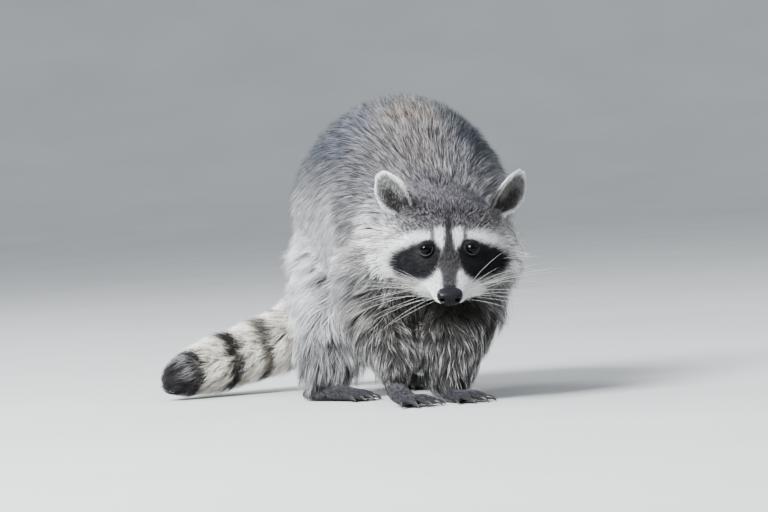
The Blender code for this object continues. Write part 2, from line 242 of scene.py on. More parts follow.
world = bpy.data.worlds.new("sky")
world.use_nodes = True
world.node_tree.nodes["Background"].inputs["Color"].default_value = (0.85, 0.935, 1.0, 1)
world.node_tree.nodes["Background"].inputs["Strength"].default_value = 0.95
bpy.context.scene.world = world
lamp_width, lamp_aim = 1.6, Vector((0, -0.05, 0.15))
for name, place, power, warmth in (
    ("lamp_front", (-2.5, -1.15, 2.3), 560, (0.955, 0.98, 1.0)),
    ("lamp_side", (2.4, -1.2, 1.4), 7, (0.95, 0.97, 1.0)),
    ("lamp_back", (-1.4, 2.4, 2.4), 95, (0.96, 0.98, 1.0)),
):
    lamp = bpy.data.objects.new(name, bpy.data.lights.new(name, "AREA"))
    bpy.context.scene.collection.objects.link(lamp)
    lamp.data.size, lamp.data.energy, lamp.data.color = lamp_width, power, warmth
    lamp.location = place
    lamp.rotation_mode = "QUATERNION"
    lamp.rotation_quaternion = (Vector(place) - lamp_aim).to_track_quat("Z", "Y")

# --- Skin ---------------------------------------------------------------------------------------------
# The hide under the coat, in one piece from the lips to the tail's tip and the toes. It lies inside the
# coat's outer form by the depth of the fur, carries the folds of the face, and shows only where the coat
# is thin: on the ears, the feet and the bridge of the nose.

# The solids melted into one closed surface of small quads. owner tells which solid lies over each vertex.
flesh = [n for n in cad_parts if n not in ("eye_left", "eye_right", "nose")]
whole = bmesh.new()
owner_of = whole.faces.layers.int.new("owner")
solid_names = sorted(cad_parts)
for index, name in enumerate(solid_names):
    already = len(whole.faces)
    whole.from_mesh(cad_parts[name].data)
    whole.faces.ensure_lookup_table()
    for face in whole.faces[already:]:
        face[owner_of] = index
bmesh.ops.remove_doubles(whole, verts=whole.verts, dist=1e-5)
whole.faces.ensure_lookup_table()
outer_form = BVHTree.FromBMesh(whole)
face_owner = [face[owner_of] for face in whole.faces]
mesh = bpy.data.meshes.new("skin")
whole.to_mesh(mesh)
whole.free()
skin = new_object("skin", mesh)
merge = skin.modifiers.new("Merge", "REMESH")
merge.mode = "VOXEL"
merge.voxel_size = 2.5 * MM
bpy.context.view_layer.update()
mesh = bpy.data.meshes.new_from_object(skin.evaluated_get(bpy.context.evaluated_depsgraph_get()))
bpy.data.objects.remove(skin)
hide = np.zeros(len(mesh.vertices) * 3)
mesh.vertices.foreach_get("co", hide)
hide = hide.reshape(-1, 3)
quads = np.zeros(len(mesh.loops), int)
mesh.loops.foreach_get("vertex_index", quads)
quads = quads.reshape(-1, 4)

# Only the outermost shell is kept: the thin cuts between the solids can leave small hollows.
group = np.arange(len(hide))
while True:
    least = group[quads].min(axis=1)
    grown = group.copy()
    np.minimum.at(grown, quads.ravel(), np.repeat(least, 4))
    grown = grown[grown]
    if (grown == group).all():
        break
    group = grown
main_shell = np.bincount(group).argmax()
kept = group == main_shell
fresh = np.cumsum(kept) - 1
quads = fresh[quads[kept[quads[:, 0]]]]
hide = hide[kept]

# Each edge once, and how many edges meet at each vertex.
edges = np.unique(np.sort(np.concatenate([quads[:, [i, (i + 1) % 4]] for i in range(4)]), axis=1), axis=0)
neighbours = np.bincount(edges.ravel(), minlength=len(hide)).astype(float)


def eased_out(values, rounds, share=0.5):
    """Each vertex's value drawn towards the mean of its neighbours, a few times over."""
    values = np.array(values, float)
    flat = values.reshape(len(values), -1)
    share = np.broadcast_to(np.asarray(share, float), len(flat))[:, None]
    for _ in range(rounds):
        total = np.zeros_like(flat)
        for column in range(flat.shape[1]):
            total[:, column] = np.bincount(edges[:, 0], flat[edges[:, 1], column], len(flat))
            total[:, column] += np.bincount(edges[:, 1], flat[edges[:, 0], column], len(flat))
        flat = flat + share * (total / neighbours[:, None] - flat)
    return flat.reshape(values.shape)


def outward(points):
    """Unit normals at the vertices."""
    face = np.cross(points[quads[:, 2]] - points[quads[:, 0]], points[quads[:, 3]] - points[quads[:, 1]])
    total = np.zeros_like(points)
    for column in range(3):
        total[:, column] = np.bincount(quads.ravel(), np.repeat(face[:, column], 4), len(points))
    return unit(total)


hide = eased_out(hide, 2)
owner = np.array([face_owner[outer_form.find_nearest(Vector(p))[2]] for p in hide])


def on(*names):
    """Which vertices lie under those solids."""
    return np.isin(owner, [solid_names.index(n) for n in names])


on_head, on_jaw, on_ear = on("head", "eye_left", "eye_right", "nose"), on("jaw"), on("ear_left", "ear_right")
on_foot = on("front_left_paw", "front_right_paw", "hind_left_foot", "hind_right_foot")
on_front_leg, on_hind_leg = on("front_left_leg", "front_right_leg"), on("hind_left_leg", "hind_right_leg")
on_tail = on("tail_base", "tail_middle", "tail_tip")
in_skull, in_stance = told_in(skull, hide), told_in(stance, hide)
across, along, high = np.abs(in_skull[:, 0]), in_skull[:, 1], in_skull[:, 2]
level = in_stance[:, 2]

# How deep the hide lies under the coat's outer form, in mm.
depth = np.full(len(hide), 21.0)
depth[on("neck")] = 17
depth = np.where(on_head, 3.0 + 4.0 * ease(8, 36, high) * ease(-10, 30, along)
                 + 12 * ease(40, 72, across) * ease(0, 34, along) + 4 * ease(60, 95, along), depth)
depth = np.where(on_jaw, 3.0 + 5 * ease(-5, 30, along), depth)
depth = np.where(on_front_leg, 3.5 + 14 * ease(25, 100, level), depth)
depth = np.where(on_hind_leg, 3.5 + 16 * ease(20, 90, level), depth)
to_tail_end = np.linalg.norm(hide - placed(stance, [(-308, 316, 17)]), axis=1) / MM
depth = np.where(on_tail, np.interp(to_tail_end, (0, 25, 60, 110), (4, 10, 16, 20)), depth)
depth = np.where(on_foot, 0.7 + 2.5 * ease(16, 32, level), depth)
depth = np.where(on_ear, 1.2, depth)
depth = eased_out(depth, 24)
depth = np.where(on_ear, np.minimum(depth, 1.6), depth)
depth = np.where(on_foot, np.minimum(depth, 0.8 + 2.5 * ease(16, 32, level)), depth)
depth = depth + 3.5 * ease(11, 24, level) * on("hind_left_foot", "hind_right_foot")

# The surface sinks to that depth step by step, and is smoothed on the way where it sinks far.
sink_steps = 10
for _ in range(sink_steps):
    hide = hide - outward(hide) * depth[:, None] * MM / sink_steps
    hide = eased_out(hide, 1, np.clip(depth / 12, 0.02, 0.5))

# Forms of the face: place in the skull's frame, reach each way and height, all in mm, the same on both
# sides.
for centre, reach, height in (
    ((22, -5, 0), (12, 12, 10), -3.2),       # socket
    ((25, -3, 12), (15, 10, 5.5), 2.4),      # brow
    ((0, -8, -3), (6, 20, 14), 1.6),         # bridge
    ((36, 2, -15), (16, 16, 9), 1.8),        # cheekbone
    ((12, -40, -33), (8, 12, 7), 2.4),       # whisker pad
    ((0, -51, -36), (3, 5, 4), -1.5),        # furrow under the nose
    ((0, -40, -44), (14, 14, 3.0), -1.0),    # mouth line
):
    here = told_in(skull, hide)
    here[:, 0] = np.abs(here[:, 0])
    swell = np.exp(-(((here - centre) / reach) ** 2).sum(axis=1)) * (on_head | on_jaw)
    hide = hide + outward(hide) * (swell * height * MM)[:, None]

# Round each eyeball the hide rises over the ball as the lids do, and in the lids' opening it sinks behind
# it. The eyes look ahead and a little to the side.
eye_axes = [np.array((skull.to_3x3() @ Vector((0.15 * side, -0.86, 0.48))).normalized()) for side in (-1, 1)]
eye_uprights = [unit(np.array(skull.to_3x3() @ Vector((0.13 * side, 0.48, 0.86)))) for side in (-1, 1)]
eye_uprights = [unit(up - (up @ axis) * axis) for up, axis in zip(eye_uprights, eye_axes)]


def round_the_eye(points, which):
    """Distance from an eyeball in mm, angle off its axis in degrees and turn from its outer corner."""
    away = (points - np.array(eye_places[which])) / MM
    reach = np.maximum(np.linalg.norm(away, axis=1), 1e-6)
    outer = np.cross(eye_uprights[which], eye_axes[which]) * (-1, 1)[which]
    off_axis = np.degrees(np.arccos(np.clip(away @ eye_axes[which] / reach, -1, 1)))
    return reach, off_axis, np.arctan2(away @ eye_uprights[which], away @ outer)


def lids_part(turn):
    """How far off the eye's axis the lids part, in degrees, at a turn from the outer corner."""
    wide, tall = 50.0, np.where(np.sin(turn) > 0, 38.0, 44.0)
    edge = 1 / np.sqrt((np.cos(turn) / wide) ** 2 + (np.sin(turn) / tall) ** 2)
    return edge + 14 * np.exp(-(1 + np.cos(turn + 0.25)) / 0.05) + 4 * np.exp(-(1 - np.cos(turn)) / 0.05)


for which in (0, 1):
    reach, off_axis, turn = round_the_eye(hide, which)
    held = np.where(off_axis < lids_part(turn) + 6, np.minimum(reach, 4.5), np.maximum(reach, 8.7))
    held = np.where(reach < 12, held, reach)
    eye = np.array(eye_places[which])
    hide = eye + (hide - eye) * (held / reach)[:, None]
hide_normal = outward(hide)
hide_tree = BVHTree.FromPolygons(hide.tolist(), quads.tolist())

# --- Lie of the coat ----------------------------------------------------------------------------------
# The way the hair runs: back from the nose over the face, up the arched back and down the rump, down the
# flanks and legs, and along the tail. Each vertex of the hide has a direction, the length of its hair in
# mm, how high and how loosely it lies, and how close the tufts stand.

in_skull, in_stance = told_in(skull, hide), told_in(stance, hide)
across, along, high = np.abs(in_skull[:, 0]), in_skull[:, 1], in_skull[:, 2]
level, toward = in_stance[:, 2], in_stance[:, 1]
facing = hide_normal @ np.array(stance.to_3x3())
from_face = unit(hide - placed(skull, [(0, -84, -34)]))
down = np.array((0.0, 0.0, -1.0))

backwards = pointed(stance, [(-0.28, 1, 0)])
flank = np.abs(facing[:, 0])
fall = 0.2 + 1.05 * flank + 1.6 * ease(290, 360, toward) - 0.5 * ease(0.3, 0.9, facing[:, 2])
lie = backwards + down * fall[:, None]
lie = lie + from_face * (1.0 * ease(170, 60, toward))[:, None] + down * (0.9 * ease(200, 120, level))[:, None]
lie = lie + down * (1.1 * ease(150, 95, level) * ease(120, 70, toward))[:, None]
sideways = pointed(skull, [(1, 0, 0)]) * np.sign(in_skull[:, :1])
face_lie = from_face + down * (0.75 * ease(30, 62, across) * ease(20, -20, high))[:, None]
parting = 0.5 * ease(8, 26, across) * ease(-30, -12, high) * ease(50, 30, high)
face_lie = face_lie + sideways * parting[:, None]
lie = np.where((on_head | on_jaw)[:, None], face_lie, lie)
leg_lie = pointed(stance, [(0, 0.18, -1)])
lie = np.where((on_front_leg | on_hind_leg)[:, None], leg_lie + 0.25 * hide_normal * [1, 1, 0], lie)

tail_run = placed(stance, [(-116, 360, 148), (-128, 382, 118), (-146, 394, 84), (-178, 396, 58),
                           (-218, 383, 45), (-254, 362, 35), (-284, 338, 26), (-310, 312, 17)])
tail_steps = tail_run[1:] - tail_run[:-1]
tail_lengths = np.linalg.norm(tail_steps, axis=1)
tail_starts = np.concatenate([[0], np.cumsum(tail_lengths)[:-1]])


def down_the_tail(points):
    """How far along the tail a point lies, in metres from its root, and the tail's direction there."""
    best = np.full(len(points), 1e9)
    run, heading = np.zeros(len(points)), np.zeros((len(points), 3))
    for start, step, length, before in zip(tail_run, tail_steps, tail_lengths, tail_starts):
        share = np.clip((points - start) @ step / length**2, 0, 1)
        gap = np.linalg.norm(points - start - share[:, None] * step, axis=1)
        near = gap < best
        best[near], run[near], heading[near] = gap[near], before + share[near] * length, step / length
    return run, heading


tail_place, tail_heading = down_the_tail(hide)
lie = np.where(on_tail[:, None], tail_heading, lie)

# Each foot's place on the floor, the way it points, and where along it the leg's hair gives way to the
# short hair of the toes.
feet = (
    ("front_right_paw", (-59, 25), 38, (2, -8)),
    ("front_left_paw", (-9, 48), 46, (2, -8)),
    ("hind_right_foot", (-142, 190), 46, (38, 12)),
    ("hind_left_foot", (-60, 346), 30, (38, 12)),
)
heel = np.zeros(len(hide))
for name, ground, yaw, (toe_side, heel_side) in feet:
    ahead = np.array((math.sin(math.radians(yaw)), -math.cos(math.radians(yaw)), 0))
    lie = np.where(on(name)[:, None], pointed(stance, [ahead - (0, 0, 0.3)]), lie)
    forward = (in_stance - (*ground, 0)) @ ahead
    heel = np.where(on(name), ease(toe_side, heel_side, forward), heel)
lie = lie + down * (1.2 * heel)[:, None]
ear_reach = np.zeros(len(hide))
for side, name in ((-1, "ear_right"), (1, "ear_left")):
    leaf = told_in(ear_frames[side], hide)
    spread, rise = leaf[:, 0] / ear_half_width, (leaf[:, 2] - ear_rise) / ear_half_height
    rim = ease(0.62, 0.9, np.hypot(spread, rise))[:, None]
    ways = rim * np.column_stack([spread, 0 * spread, rise]) + (1 - rim) * [-0.35 * side, -0.1, 0.7]
    lie = np.where(on(name)[:, None], pointed(ear_frames[side], ways), lie)
    ear_reach = np.where(on(name), np.hypot(spread, rise), ear_reach)


def laid(rows):
    """Directions pressed flat against the hide."""
    return unit(rows - (rows * hide_normal).sum(axis=1)[:, None] * hide_normal)


lie = laid(unit(lie))
for _ in range(4):
    lie = laid(eased_out(lie, 6))

hair = 36.0 + 8 * ease(230, 170, level)
hair[on("neck")] = 34
hair = np.where(on_head, 6.5 + 6 * ease(6, 40, high) * ease(-10, 30, along)
                + 20 * ease(42, 72, across) * ease(4, 34, along) + 5 * ease(60, 95, along), hair)
hair = np.where(on_head & (along < -8), 4.2 + 2.3 * ease(-30, -8, along), hair)
hair = np.where(on_jaw, 5 + 8 * ease(-10, 30, along), hair)
hair = np.where(on_front_leg, 15 + 24 * ease(25, 95, level), hair)
hair = np.where(on("front_left_leg"), np.maximum(hair, 26), hair)
hair = np.where(on_hind_leg, 27 + 15 * ease(20, 90, level), hair)
hair = np.where(on_tail, 27, hair)
hair = np.where(on_foot, 5.0 + 6 * ease(14, 30, level) + 14 * heel, hair)
hair = np.where(on_ear, 5, hair)
hair = eased_out(hair, 16)
hair = np.where(on_ear, 5.0 - 1.2 * ease(0.7, 0.95, ear_reach), hair)
for which in (0, 1):
    reach, off_axis, _ = round_the_eye(hide, which)
    hair = np.where(reach < 20, np.minimum(hair, 1.9 + 0.26 * (reach - 8.7)), hair)
for side in (-1, 1):
    leaf = told_in(ear_frames[side], hide) - (0, 0, ear_rise)
    clear = np.linalg.norm(leaf * (1, 1, ear_half_width / ear_half_height), axis=1) - ear_half_width
    hair = np.where(on_ear, hair, np.minimum(hair, 3.2 + 0.8 * np.maximum(clear, 0)))

# How high the hair's tips come over the hide, in mm.
fullness = 1 + on("trunk") * (0.08 + 0.22 * ease(165, 225, level))
rising = np.minimum(depth * fullness + 3.5 * heel, 0.66 * hair)
hair = np.where(on_foot, np.minimum(hair, 5.0 + 8 * ease(12, 30, level) + 16 * heel), hair)

# How loosely the hair lies, from 0, sleek, to 1, in hanging locks, and how far it flies off an edge.
loose = np.where(on("trunk", "neck"), 0.12 + 0.75 * ease(215, 110, level), 0.15)
loose = np.where(on("neck"), np.maximum(loose, 0.8 * ease(150, 110, level)), loose)
loose = np.where(on_front_leg | on_hind_leg, 0.85, loose)
loose = np.where(on_tail, 0.16, loose)
loose = np.where(on_head, 0.1 + 0.6 * ease(48, 72, across) * ease(30, 0, high), loose)
loose = np.where(on_jaw, 0.3, loose)
loose = eased_out(loose, 10)
fly = 0.45 * on_ear + 0.25 * on("tail_tip") + 0.5 * on_front_leg + 0.5 * on_jaw
fly = fly + 0.7 * on_hind_leg * ease(125, 85, level) + on_head * ease(48, 66, across)
fly = fly + 0.4 * on("neck") * ease(150, 110, level)
fly = eased_out(fly, 6)

# Tufts to the square centimetre: closest where the hair is shortest.
close = np.interp(hair, (3, 5, 8, 14, 25, 36, 45), (104, 100, 82, 60, 52, 54, 46))
close = np.where(on_front_leg | on_hind_leg, np.minimum(close, 42), close)
close = np.where(on_tail, 56, close)
close = np.where(on_ear & (ear_reach > 0.75), 150, close)
close = np.where(on_foot & (hair < 5), 60, close)
facing_floor = facing[:, 2] < -0.55
close = np.where(facing_floor & on("trunk"), 14, close)
close = np.where(facing_floor & on_foot, 5, close)

# --- Markings -----------------------------------------------------------------------------------------
# The coat's colours in linear light. Every hair has three: near the skin, in the middle and at its tip.
# Zones are painted over one another: the grizzled coat first, then legs, tail rings and throat, then the
# face with its white brows, black mask and dark stripe down the nose.


def outline_distance(shape, u, v):
    """Distance of (u, v) from a closed outline, below 0 inside it."""
    inside = np.zeros(len(u), bool)
    gap = np.full(len(u), 1e9)
    for (ax, ay), (bx, by) in zip(shape, shape[1:] + shape[:1]):
        dx, dy = bx - ax, by - ay
        share = np.clip(((u - ax) * dx + (v - ay) * dy) / (dx * dx + dy * dy), 0, 1)
        gap = np.minimum(gap, np.hypot(u - ax - share * dx, v - ay - share * dy))
        if dy:
            inside ^= ((ay > v) != (by > v)) & (u < ax + dx * (v - ay) / dy)
    return np.where(inside, -gap, gap)


def covers(shape, u, v, soft):
    """1 inside an outline, 0 outside, with an edge that soft."""
    return ease(soft / 2, -soft / 2, outline_distance(shape, u, v))


# Outlines on the face as one looks along the gaze: across from the middle, and up from the eyes, in mm.
mask_outline = [(6.8, 0), (13.5, 6.5), (22, 9), (35, 6.5), (48, 2), (58, -3), (64, -9.5), (62, -18),
                (52, -25), (38, -28.5), (24.5, -30.5), (16.5, -26), (11.5, -18), (7.5, -9)]
inner_brow = [(4.2, 20), (8.5, 23), (14.2, 21), (14.6, 12), (11.5, 5), (6.6, -1.5), (4.6, 7)]
outer_brow = [(18.5, 18), (30, 19), (45, 15), (62, 9), (76, 0), (86, -12), (84, -34), (70, -40), (62, -22),
              (60, -8), (48, 2), (36, 6), (22, 9), (18, 9)]
whisker_pad = [(6.5, -20), (12, -20), (20, -27), (33, -36), (38, -42), (30, -48), (21, -56), (11, -62),
               (5, -46)]
# The dark rings: place from the tail's tip and width, in mm, and how dark.
tail_rings = ((10, 56, 1), (82, 21, 1), (127, 18, 0.9), (161, 15, 0.8), (191, 14, 0.7), (217, 12, 0.6))
# The dark stripe from the nose over the forehead: how far up, half its width in mm, and how grey.
stripe_widths = ((-60, -38, -24, -18, -11, -5, 0, 6, 14, 29, 41, 52),
                 (7.5, 7.5, 8.2, 11, 9.6, 7.4, 6.6, 4.7, 4.0, 3.3, 2.4, 0.5))
stripe_greys = ((-45, -30, -14, -2, 8, 24), (0.85, 0.80, 0.60, 0.30, 0.20, 0.22))


def paint(points, normals, tail_places, named):
    """Colours of the hair at points, deep, middle and tip, and the share of hairs with a black tip.

    tail_places tells how far down the tail each point lies, and named which points lie on a solid.
    """
    face = told_in(skull, points)
    body = told_in(stance, points)
    faces = normals @ np.array(stance.to_3x3())
    u, v = np.abs(face[:, 0]), 0.49 * face[:, 1] + 0.87 * face[:, 2]
    near = ease(62, 40, face[:, 1])
    parts = [np.tile(np.array(colour, float), (len(points), 1)) for colour in (
        (0.010, 0.010, 0.012), (0.030, 0.030, 0.034), (0.275, 0.285, 0.315))]
    parts.append(np.full((len(points), 1), 0.62))

    def lay(share, deep, middle, tip, black):
        """Paints that share of three colours and of black tips over what is there."""
        for i, value in enumerate((deep, middle, tip, (black,))):
            parts[i] += np.asarray(share, float)[:, None] * (np.array(value, float) - parts[i])

    trunk, neck = named("trunk"), named("neck")
    front_legs = named("front_left_leg", "front_right_leg")
    hind_legs = named("hind_left_leg", "hind_right_leg")
    on_feet = named("front_left_paw", "front_right_paw", "hind_left_foot", "hind_right_foot")
    level, back = body[:, 2], body[:, 1]

    # The back is grizzled: grey, with a warm saddle and painted shade on its sides. The flanks pale to
    # silver.
    warm = ease(62, 10, np.abs(body[:, 0] + 30)) * ease(185, 250, level) * ease(270, 160, back)
    body_coat = trunk | neck
    lay(warm * 0.8 * body_coat, (0.016, 0.0115, 0.008), (0.054, 0.039, 0.026), (0.38, 0.305, 0.225), 0.58)
    # Painted shade: where the back slopes away to either side, its hair is laid darker and bluish.
    painted_shade_and_sheen_rims = ease(196, 262, level) * ease(0.05, 0.7, np.abs(faces[:, 0])) * trunk
    lay(painted_shade_and_sheen_rims * 0.9, (0.009, 0.0095, 0.0115), (0.026, 0.028, 0.035), (0.178, 0.192, 0.230), 0.58)
    rump = trunk * ease(0.1, 0.75, faces[:, 1])
    lay(rump * 0.65, (0.022, 0.021, 0.022), (0.085, 0.083, 0.086), (0.36, 0.36, 0.375), 0.4)
    flank_share = np.maximum(ease(0.0, 0.55, np.abs(faces[:, 0])), ease(175, 125, level) * ease(50, 90, back))
    silver = ease(258, 150, level) * flank_share * (0.7 * ease(-15, 50, back) + 0.3 * ease(70, 170, back))
    lay(silver * (trunk + 0.55 * neck), (0.092, 0.090, 0.092), (0.49, 0.487, 0.50), (0.94, 0.94, 0.955), 0.15)
    shoulder = ease(5, 45, back) * ease(150, 95, back) * ease(105, 150, level) * ease(240, 190, level)
    lay(shoulder * 0.45 * body_coat, (0.055, 0.045, 0.035), (0.31, 0.275, 0.225), (0.84, 0.80, 0.73), 0.22)
    bib = ease(138, 92, level) * ease(110, 60, back)
    lay(bib * 0.85 * body_coat, (0.019, 0.017, 0.0145), (0.060, 0.055, 0.048), (0.33, 0.320, 0.295), 0.38)
    throat = body_coat * ease(140, 112, level) * ease(62, 36, np.abs(body[:, 0] + 8)) * ease(100, 60, back)
    lay(throat, (0.005, 0.005, 0.004), (0.011, 0.0105, 0.0085), (0.085, 0.080, 0.068), 0.58)
    # Hair facing the floor: partly the belly's paler hair, partly painted light lifting the shade under it.
    belly_and_painted_light = trunk * ease(-0.2, -0.6, faces[:, 2]) * ease(60, 110, back)
    lay(belly_and_painted_light * 0.8, (0.24, 0.23, 0.22), (0.58, 0.565, 0.54), (0.88, 0.87, 0.85), 0.06)
    lay(front_legs * 0.95, (0.026, 0.023, 0.021), (0.098, 0.090, 0.083), (0.56, 0.545, 0.525), 0.25)
    lay(hind_legs * 0.95, (0.075, 0.071, 0.070), (0.29, 0.285, 0.285), (0.80, 0.80, 0.805), 0.12)
    thighs = hind_legs * ease(42, 84, level)
    lay(thighs * 0.95, (0.22, 0.22, 0.223), (0.66, 0.66, 0.67), (0.95, 0.95, 0.95), 0.04)
    low_leg = (front_legs | hind_legs) * ease(66, 22, level)
    lay(low_leg * 0.5, (0.035, 0.033, 0.035), (0.13, 0.125, 0.13), (0.50, 0.495, 0.50), 0.2)
    lay(on_feet, (0.018, 0.0175, 0.0205), (0.058, 0.056, 0.065), (0.215, 0.212, 0.238), 0.34)
    toes = on_feet * ease(22, 9, level)
    lay(toes * 0.75, (0.009, 0.0088, 0.0105), (0.022, 0.021, 0.025), (0.065, 0.063, 0.073), 0.35)

    # Cream rings, wider than the dark ones between them, and a dark tip with a paler patch.
    tail = named("tail_base", "tail_middle", "tail_tip")
    lay(tail, (0.64, 0.55, 0.425), (0.90, 0.825, 0.70), (0.94, 0.90, 0.82), 0.0)
    whole_tail = tail_starts[-1] + tail_lengths[-1]
    from_tip = (whole_tail - tail_places) / MM - 7 * faces[:, 2]
    for ring, width, dark in tail_rings:
        band = ease(width / 2 + 4, width / 2 - 3, np.abs(from_tip - ring)) * dark
        lay(tail * band, (0.009, 0.0085, 0.0085), (0.018, 0.017, 0.0175), (0.036, 0.034, 0.036), 0.2)
    lay(tail * 0.6 * ease(9, 3, np.abs(from_tip - 17)) * ease(-0.3, 0.4, faces[:, 2]),
        (0.07, 0.07, 0.07), (0.26, 0.26, 0.26), (0.46, 0.455, 0.45), 0.15)

    # The head: a dark grizzled crown, pale temples and ruff, white brows and muzzle, and the mask.
    head = named("head", "jaw", "eye_left", "eye_right", "nose")
    lay(head, (0.075, 0.072, 0.072), (0.28, 0.272, 0.27), (0.60, 0.60, 0.605), 0.22)
    crown = head * ease(15, 24, v)
    lay(crown, (0.017, 0.0155, 0.017), (0.050, 0.046, 0.050), (0.26, 0.248, 0.266), 0.52)
    lay(head * ease(28, 42, v), (0.012, 0.011, 0.012), (0.034, 0.031, 0.035), (0.215, 0.205, 0.228), 0.58)
    nape = (neck + 0.6 * trunk * ease(110, 60, back)) * ease(150, 175, level)
    lay(np.clip(nape, 0, 1) * 0.7, (0.017, 0.0155, 0.0165), (0.060, 0.056, 0.060), (0.315, 0.305, 0.33), 0.5)
    temple = head * ease(34, 60, u) * ease(12, 24, v)
    lay(temple * 0.7, (0.08, 0.078, 0.078), (0.30, 0.295, 0.295), (0.68, 0.68, 0.68), 0.2)
    ruff = head * ease(48, 64, u) * ease(34, 20, v)
    lay(ruff, (0.15, 0.143, 0.132), (0.47, 0.458, 0.43), (0.86, 0.85, 0.825), 0.05)
    cheek = head * near * ease(-24, -34, v) * ease(22, 36, u)
    lay(cheek, (0.088, 0.082, 0.072), (0.285, 0.272, 0.248), (0.66, 0.645, 0.615), 0.13)
    chin = head * ease(-40, -50, face[:, 2]) * ease(-16, 12, face[:, 1])
    lay(chin, (0.032, 0.028, 0.022), (0.10, 0.092, 0.075), (0.42, 0.40, 0.355), 0.35)
    white = ((0.62, 0.62, 0.62), (0.88, 0.88, 0.88), (0.95, 0.95, 0.95), 0.0)
    lay(head * near * covers(outer_brow, u, v, 8), *white)
    lay(head * near * covers(whisker_pad, u, v, 6), *white)
    lay(head * near * covers(inner_brow, u, v, 5), *white)
    between_brows = ease(2.8, 0.8, np.abs(u - 16.4 - 0.1 * (v - 12))) * ease(3, 9, v) * ease(28, 19, v)
    lay(head * near * between_brows * 0.8,
        (0.03, 0.025, 0.025), (0.09, 0.078, 0.075), (0.21, 0.195, 0.19), 0.3)
    brown_edge = covers(mask_outline, u, v, 18) * ease(42, 55, u)
    lay(head * near * brown_edge * 0.6, (0.02, 0.017, 0.014), (0.055, 0.048, 0.041), (0.15, 0.137, 0.12), 0.3)
    black = ((0.0035, 0.0035, 0.0042), (0.0052, 0.0055, 0.0072), (0.0088, 0.0096, 0.0128), 0.0)
    lay(head * near * covers(mask_outline, u, v, 7), *black)
    # The dark stripe down the forehead widens into the grey-brown bridge of the nose.
    width = np.interp(v, *stripe_widths)
    grey = np.interp(v, *stripe_greys)[:, None]
    stripe_share = head * near * ease(width + 2.0, width - 1.8, u) * ease(50, 24, v) * 0.94
    for i, value in enumerate(((0.024, 0.022, 0.025), (0.047, 0.043, 0.050), (0.068, 0.063, 0.074))):
        parts[i] += stripe_share[:, None] * (np.array(value) * grey - parts[i])
    parts[3] *= 1 - stripe_share[:, None] * 0.8
    # The hair beside the lids is black.
    for which in (0, 1):
        reach, _, _ = round_the_eye(points, which)
        lay(ease(12.5, 10.5, reach), *black)

    # Ears: a white rim and a pale grey leaf. Its dark hollow is partly painted shade, and its dark inner
    # corner at the root is painted shade.
    for side, name in ((-1, "ear_right"), (1, "ear_left")):
        ear = named(name)
        leaf = told_in(ear_frames[side], points)
        inward, rise = -side * leaf[:, 0] / ear_half_width, (leaf[:, 2] - ear_rise) / ear_half_height
        edge = np.hypot(inward, rise)
        # Inner face darker, darkest in the pit: partly the ear's own darker hair, partly painted shade.
        hollow = ear * ease(-0.1, 0.3, -(normals * pointed(ear_frames[side], [(0, 1, 0)])).sum(axis=1))
        lay(ear, (0.08, 0.078, 0.077), (0.21, 0.206, 0.203), (0.42, 0.415, 0.412), 0.15)
        lay(hollow, (0.075, 0.075, 0.073), (0.18, 0.18, 0.177), (0.34, 0.34, 0.336), 0.12)
        pit = ease(1.15, 0.45, np.hypot((inward + 0.25) / 0.5, (rise + 0.25) / 0.8))
        lay(hollow * pit, (0.007, 0.006, 0.0055), (0.020, 0.018, 0.0165), (0.15, 0.142, 0.135), 0.68)
        # Painted shade where ear and head meet: the leaf's root and the head by its inner corner are laid
        # dark.
        root = ease(-0.30, -0.6, rise - 0.4 * inward) * ease(-0.8, -0.3, inward)
        lay(ear * root, (0.012, 0.010, 0.010), (0.03, 0.027, 0.026), (0.06, 0.055, 0.052), 0.3)
        rim = ease(-0.06, 0.06, edge - 0.81 + 0.16 * ease(0.2, 0.6, inward))
        rim = rim * ease(-0.95, -0.6, rise - 0.35 * inward) * ease(1.12, 0.72, inward + 0.5 * (0.2 - rise))
        lay(ear * rim, *white)
        ear_root_shade = head * ease(11, 5, np.linalg.norm(leaf - (-side * 15, 0, 8), axis=1))
        lay(ear_root_shade * 0.8, (0.012, 0.010, 0.010), (0.032, 0.028, 0.028), (0.10, 0.092, 0.092), 0.4)
    return parts[0], parts[1], parts[2], parts[3][:, 0]


hide_colours = paint(hide, hide_normal, tail_place, on)

# --- Claws --------------------------------------------------------------------------------------------
# Twenty short, curved, blunt claws of dark horn, one on each toe. They taper from a round root in the
# toe's skin, arch forward and come down to the floor.


def over_rings(rings, turned=False, caps=(True, True)):
    """Points and faces of a surface drawn over rings that all have as many points."""
    count, sides = rings.shape[:2]
    faces = []
    for low in range(0, (count - 1) * sides, sides):
        for i in range(sides):
            other = (i + 1) % sides
            faces.append((low + i, low + other, low + sides + other, low + sides + i))
    if caps[0]:
        faces.append(tuple(reversed(range(sides))))
    if caps[1]:
        faces.append(tuple(range((count - 1) * sides, count * sides)))
    return rings.reshape(-1, 3), [face[::-1] for face in faces] if turned else faces


# Each toe's place across the foot, how far it is splayed in degrees, and its length from the ball.
hand_toes = ((-10.5, -40, 19), (-6, -16, 25), (0, 2, 27), (6, 18, 25), (10.5, 42, 19))
foot_toes = ((-11, -20, 18), (-6, -9, 23), (0, 0, 25), (6, 9, 23), (11, 22, 17))
hand_ball, foot_ball = -21, -50
claw_length, claw_rings, claw_sides = 10.6, 9, 10
horn, tree, shader = finish("claw_horn", Roughness=0.42, Specular_IOR_Level=0.4)
streaks = grain(tree, 900.0, 3.0)
tone = Wire.node(tree, "ShaderNodeValToRGB", {0: streaks}, stops=[
    (0.3, (0.008, 0.007, 0.007, 1)), (0.62, (0.020, 0.017, 0.016, 1)), (0.8, (0.045, 0.039, 0.035, 1))])
bump = Wire.node(tree, "ShaderNodeBump", {"Height": streaks, "Strength": 0.25, "Distance": 0.0002})
wired(shader, Base_Color=tone, Normal=bump)
claw_lines = []
